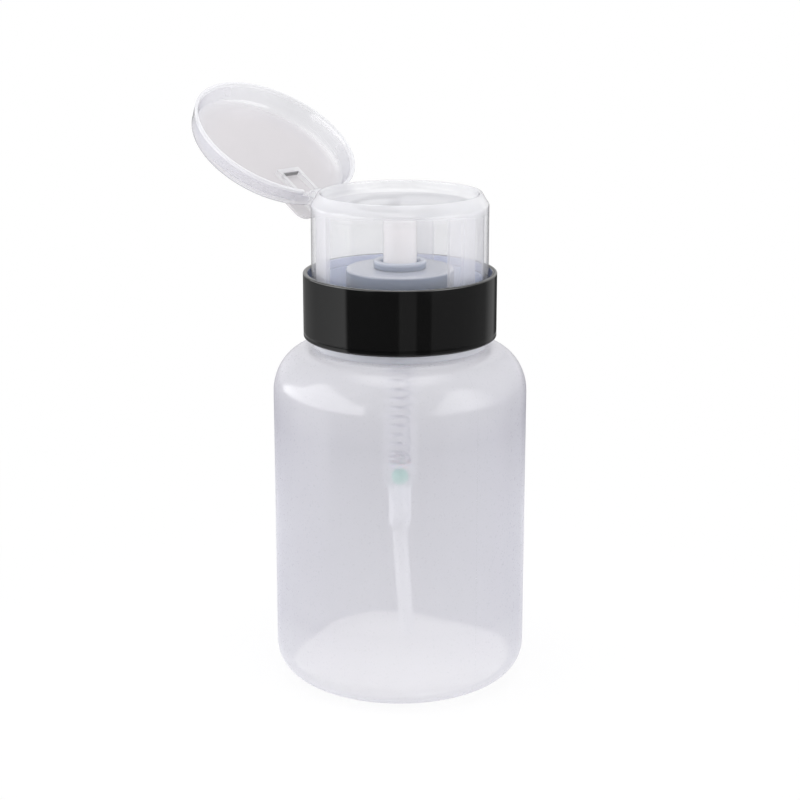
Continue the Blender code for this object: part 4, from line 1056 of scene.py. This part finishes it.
# Lamps: azimuth counted from the camera to its right, and elevation, both in degrees; distance, width and
# height; power in watts
LAMPS = {
    "left_box": (-88, 2, 0.75, 1.1, 0.9, 5.6),
    "right_box": (66, 2, 0.85, 0.8, 0.8, 3.6),
    "top_box": (10, 80, 0.8, 0.7, 0.7, 2.5),
}
LAMP_TARGET = Vector((0, 0, 90 * MM))


def grey(value):
    return (value, value, value)


def band(n, turn, stops):
    """A grey ramp round the horizon."""
    return n.ramp(turn, [((angle_deg + 180) / 360, grey(value)) for angle_deg, value in stops])


def make_world():
    """White behind the object, plain soft light on it, and lamps with dark gaps in its gloss."""
    world = bpy.data.worlds.new("studio")
    bpy.context.scene.world = world
    world.use_nodes = True
    n = Nodes(world.node_tree)
    path = n.new("ShaderNodeLightPath")
    x, y, z = n.split(n.coordinates.outputs["Generated"])
    from_camera = n.maths("ADD", n.maths("ARCTAN2", y, x), math.radians(90 - CAMERA_AZIMUTH_DEG))
    turn = n.maths("FRACT", n.maths("ADD", n.maths("DIVIDE", from_camera, FULL_TURN), 0.5))
    mirrored = n.blend(n.scale(z, *HIGH_BAND_START), band(n, turn, LOW_BAND), band(n, turn, HIGH_BAND))
    top = n.new("ShaderNodeSeparateColor", color=band(n, turn, TOP_BAND)).outputs[0]
    beyond = n.scale(n.maths("SUBTRACT", n.maths("ADD", z, TOP_SHIFT), top), 0.0, TOP_EDGE)
    mirrored = n.blend(beyond, mirrored, grey(BEYOND_GREY))
    mirrored = n.blend(n.scale(z, *PLAIN_START), mirrored, grey(PLAIN_GREY))
    mirrored = n.blend(n.scale(z, *ZENITH_START), mirrored, grey(ZENITH_WHITE))
    soft = n.blend(path.outputs["Is Glossy Ray"], SOFT_LIGHT, mirrored)
    seen = n.blend(n.seen_directly(path), soft, WHITE)
    n.feed(n.tree.nodes["Background"].inputs["Color"], seen)


def make_floor():
    """A white floor that keeps the object's shadow."""
    mesh = bmesh.new()
    bmesh.ops.create_circle(mesh, cap_ends=True, segments=FLOOR_SIDES, radius=FLOOR_RADIUS)
    floor = mesh_object("floor", mesh)
    floor.location.z = -FLOOR_DROP
    n = Look("white_floor")
    n.put(base_color=grey(0.9), roughness=0.6, specular_ior_level=0.0)
    distance = n.new("ShaderNodeVectorMath")
    distance.operation = "LENGTH"
    n.feed(distance.inputs[0], n.place)
    radius = distance.outputs["Value"]
    glow = n.new("ShaderNodeEmission", color=WHITE, strength=1.0)
    glowing = n.scale(radius, *GLOW_RADII, *GLOW_SHARES, kind="SMOOTHSTEP")
    share = n.maths("MULTIPLY", n.seen_directly(n.new("ShaderNodeLightPath")), glowing)
    lit = n.mix_shader(share, n.shader, glow)
    faded = n.mix_shader(n.scale(radius, *FADE_RADII), lit, n.new("ShaderNodeBsdfTransparent"))
    n.feed(n.output.inputs["Surface"], faded.outputs[0])
    paint(floor, n.material)


def make_lamp(name, azimuth_deg, elevation_deg, distance, width, height, power):
    """An area light that looks at the cap, and that no gloss mirrors."""
    rise = math.radians(elevation_deg)
    away = polar(math.cos(rise), math.radians(CAMERA_AZIMUTH_DEG - 90 + azimuth_deg), math.sin(rise))
    data = bpy.data.lights.new(name, "AREA")
    data.shape = "RECTANGLE"
    data.size = width
    data.size_y = height
    data.energy = power
    light = bpy.data.objects.new(name, data)
    light.location = LAMP_TARGET + away * distance
    light.rotation_euler = (-away).to_track_quat("-Z", "Y").to_euler()
    light.visible_glossy = False
    bpy.context.scene.collection.objects.link(light)


def make_camera():
    data = bpy.data.cameras.new("camera")
    data.sensor_width = SENSOR_WIDTH_MM
    data.lens = LENS_MM
    data.clip_start = 10 * MM
    camera = bpy.data.objects.new("camera", data)
    turn = math.radians(CAMERA_AZIMUTH_DEG)
    camera.location = (CAMERA_DISTANCE * math.sin(turn), -CAMERA_DISTANCE * math.cos(turn), CAMERA_HEIGHT)
    camera.rotation_euler = (math.radians(90 - CAMERA_PITCH_DEG), 0, turn)
    bpy.context.scene.collection.objects.link(camera)
    bpy.context.scene.camera = camera


# Looks

# Bottle colours by height. The body's colour is the plastic's own. Painted light: the neck and the shoulder
# are paler for the light from above, and the neck also has a painted glow against the shade under the collar.
# The foot is paler, partly for its thicker wall and partly as painted light from the table. The heel and the
# inner floor are paler and have a painted glow, as painted light from the floor below.
BOTTLE_NECK_PAINTED_LIGHT = (0.7, 0.69, 0.72)
BOTTLE_SHOULDER_PAINTED_LIGHT = (0.62, 0.61, 0.645)
BOTTLE_BODY = (0.44, 0.43, 0.485)
BOTTLE_FOOT_THICK_AND_PAINTED_LIGHT = (0.66, 0.65, 0.685)
BOTTLE_HEEL_PAINTED_LIGHT = (0.66, 0.655, 0.685)
BOTTLE_FLOOR_PAINTED_LIGHT = (0.97, 0.955, 0.93)
BOTTLE_GLOW = (0.7, 0.7, 0.74)
BOTTLE_SLANT = (0.43, 0.425, 0.475)
NEAR_WHITE = (0.97, 0.97, 0.98)
PALE = (0.88, 0.88, 0.89)


def bottle_look(name, clear, gloss, lowest):
    """Most of the wall's haze is in the outer face, so that pieces inside are seen softly."""
    shoulder = Below(SHOULDER_Z + 10.2 * MM, SHOULDER_Z + 11.6 * MM, BOTTLE_SHOULDER_PAINTED_LIGHT, clear)
    middle = Below(SHOULDER_Z - 7 * MM, SHOULDER_Z + 7 * MM, BOTTLE_BODY, clear)
    foot = Below(4 * MM, 20 * MM, BOTTLE_FOOT_THICK_AND_PAINTED_LIGHT, clear)
    return see_through(
        name, BOTTLE_NECK_PAINTED_LIGHT, clear, scatter=0.14, roughness=0.3, gloss=gloss, glow=BOTTLE_GLOW,
        slanted=BOTTLE_SLANT, upright=((6 * MM, 16 * MM), (SHOULDER_Z - 7 * MM, SHOULDER_Z + 5 * MM)),
        lift=0.2, mirror=0.1, below=(shoulder, middle, foot, lowest)
    )


# The heel's zone and the inner floor's zone are painted light, each with a painted glow.
polyethylene = bottle_look(
    "natural_polyethylene", clear=0.7, gloss=0.05,
    lowest=Below(1 * MM, 6 * MM, BOTTLE_HEEL_PAINTED_LIGHT, clear=0.66, lift=0.3)
)
inner_polyethylene = bottle_look(
    "natural_polyethylene_inside", clear=0.98, gloss=None,
    lowest=Below(0.3 * MM, 1.6 * MM, BOTTLE_FLOOR_PAINTED_LIGHT, clear=0.5, lift=0.44, wave=5 * MM)
)
seam_plastic = see_through(
    "seam_polyethylene", (0.5, 0.495, 0.53), clear=0.97, scatter=0.02, roughness=0.3, gloss=None
)
# Painted glow: the barrel's lower part and its boss give off light; the boss is also whiter.
barrel_plastic = see_through(
    "barrel_polypropylene", (0.85, 0.85, 0.89), clear=0.955, scatter=0.04, roughness=0.3, gloss=None,
    below=(
        Below(FLANGE_TOP - 29.2 * MM, FLANGE_TOP - 15.2 * MM, (0.87, 0.87, 0.89), clear=0.955, lift=0.4),
        Below(BARREL_Z + 9.4 * MM, BARREL_Z + 10.4 * MM, NEAR_WHITE, clear=0.6, lift=0.16),
    )
)
# Painted glow: the tube gives off light inside the bottle.
tube_plastic = see_through("tube_polyethylene", grey(0.99), clear=0.6, scatter=0.3, roughness=0.3, lift=0.16)
# Painted shade: the deck and the tower's sides are near-black blue, turning dark blue under the tower's
# rounded top edge, and seen at a slant there it tends to dark blue, for the shade inside the collar. Only the
# tower's top keeps the plastic's pale blue. Below the deck it is grey-white. It has a faint painted glow.
closure_plastic = see_through(
    "closure_polypropylene", (0.74, 0.765, 0.85), clear=0.2, scatter=0.2, roughness=0.35,
    glow=(0.4, 0.46, 0.6), lift=0.04, slanted=(0.3, 0.35, 0.45),
    upright=((DECK_Z - 0.5 * MM, DECK_Z + 1.5 * MM), (TOWER_TOP - 2.4 * MM, TOWER_TOP - 0.4 * MM)),
    below=(
        Below(TOWER_TOP - 0.6 * MM, TOWER_TOP - 0.2 * MM, (0.2, 0.27, 0.4), clear=0.2, lift=0.02),
        Below(TOWER_TOP - 5.4 * MM, TOWER_TOP - 1.2 * MM, (0.04, 0.08, 0.14), clear=0.2),
        Below(DECK_Z - 2.5 * MM, DECK_Z - 0.5 * MM, (0.82, 0.815, 0.83), clear=0.6),
    )
)
# Painted light and shade: a pale blue with a painted glow, darker and with less glow towards the deck, for
# the shade in the recess above it.
moat_plastic = see_through(
    "moat_polypropylene", (0.72, 0.77, 0.95), clear=0.1, scatter=0.2, roughness=0.35, lift=0.28,
    below=(Below(DECK_Z + 1.5 * MM, DECK_Z + 8.5 * MM, (0.38, 0.44, 0.58), clear=0.1, lift=0.22),)
)
# Painted shade: the cap's side and the bush below it are dark slate blue under the cap's pale top. It has a
# faint painted glow.
bush_plastic = see_through(
    "bush_polypropylene", (0.68, 0.73, 0.83), clear=0.2, scatter=0.2, roughness=0.35, lift=0.06,
    below=(Below(GUIDE_TOP - 1 * MM, GUIDE_TOP - 0.2 * MM, (0.17, 0.23, 0.34), clear=0.2),)
)
cup_plastic = see_through(
    "clear_polypropylene", (0.84, 0.835, 0.85), clear=0.8, scatter=0.12, roughness=0.15, gloss=0.03,
    glow=NEAR_WHITE, slanted=(0.76, 0.755, 0.78),
    below=(Below(CUP_TOP - 5.8 * MM, CUP_TOP - 2.7 * MM, (0.52, 0.515, 0.545), clear=0.925),)
)
leg_plastic = see_through(
    "milky_polypropylene", (0.93, 0.92, 0.94), clear=0.87, scatter=0.1, roughness=0.2, gloss=None
)
# Painted glow: the stem gives off light inside the cup.
stem_plastic = see_through(
    "stem_polypropylene", (0.97, 0.95, 0.95), clear=0.3, scatter=0.3, roughness=0.3, lift=0.2
)
# Painted shade: the lid is greyer than the cup of the same plastic, since its inside faces away from the
# light. Its side walls are paler. The rim's lip is pale as a painted highlight.
lid_plastic = see_through(
    "lid_polypropylene", (0.59, 0.56, 0.575), clear=0.72, scatter=0.08, roughness=0.15, gloss=0.03,
    below=(
        Below(ROOF_Z - 1.6 * MM, ROOF_Z - 0.8 * MM, (0.68, 0.68, 0.73), clear=0.79),
        Below(RIM_Z + 0.7 * MM, RIM_Z + 1 * MM, PALE, clear=0.6),
    )
)
# The bracket's faces are paler than the lid, with a faint painted glow.
bracket_plastic = see_through(
    "bracket_polypropylene", PALE, clear=0.8, scatter=0.1, roughness=0.15, gloss=0.03, lift=0.02
)
# Painted shade: dark grey for the plate in front of the bar's face.
shade_plastic = see_through("bar_shade_polypropylene", grey(0.2), clear=0.5, scatter=0.1, roughness=0.3)
white_plastic = moulded("white_polypropylene", (0.93, 0.93, 0.94), roughness=0.35, subsurface=0.3)
black_plastic = moulded("gloss_black", grey(0.0035), roughness=0.06, bump=0.02)
# Painted highlight: a slightly lighter black that mirrors more strongly, for the collar rim's top faces.
rim_highlight_plastic = moulded("gloss_black_rim", grey(0.01), roughness=0.06, ior=1.9, bump=0.02)
foam = moulded("gasket_foam", (0.88, 0.88, 0.86), roughness=0.8, bump=0.8)


# Assembly

clear_defaults()
make_bottle(polyethylene, inner_polyethylene)
make_parting_lines(seam_plastic)
make_cylinder(barrel_plastic)
make_tube(tube_plastic)
make_spring(spring_steel())
make_ball("inlet_check_ball", "inlet_ball", ball_glass(*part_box("inlet_ball")), "inlet_check", "green_ball")
make_ball("outlet_check_ball", "outlet_ball", white_plastic, "outlet_check", "white_plastic")
make_guide(bush_plastic)
make_closure(closure_plastic)
make_moat_wall(moat_plastic)
make_threads(polyethylene, closure_plastic)
make_shroud(black_plastic, rim_highlight_plastic)
make_cup(cup_plastic)
make_legs(leg_plastic)
make_stem(stem_plastic)
make_lid(lid_plastic, bracket_plastic)
make_bar_shade(shade_plastic)
paint(frame["nodes"]["neck_gasket"], foam)
for node in ("ball_retainer", "piston_seal", "piston_retainer"):
    paint(frame["nodes"][node], white_plastic)

make_world()
make_floor()
for name, numbers in LAMPS.items():
    make_lamp(name, *numbers)
make_camera()
bpy.context.scene.view_settings.view_transform = "Standard"

# A ray passes many walls before it leaves the object
bpy.context.scene.cycles.transparent_max_bounces = 32
bpy.context.scene.cycles.transmission_bounces = 16
bpy.context.scene.cycles.max_bounces = 20
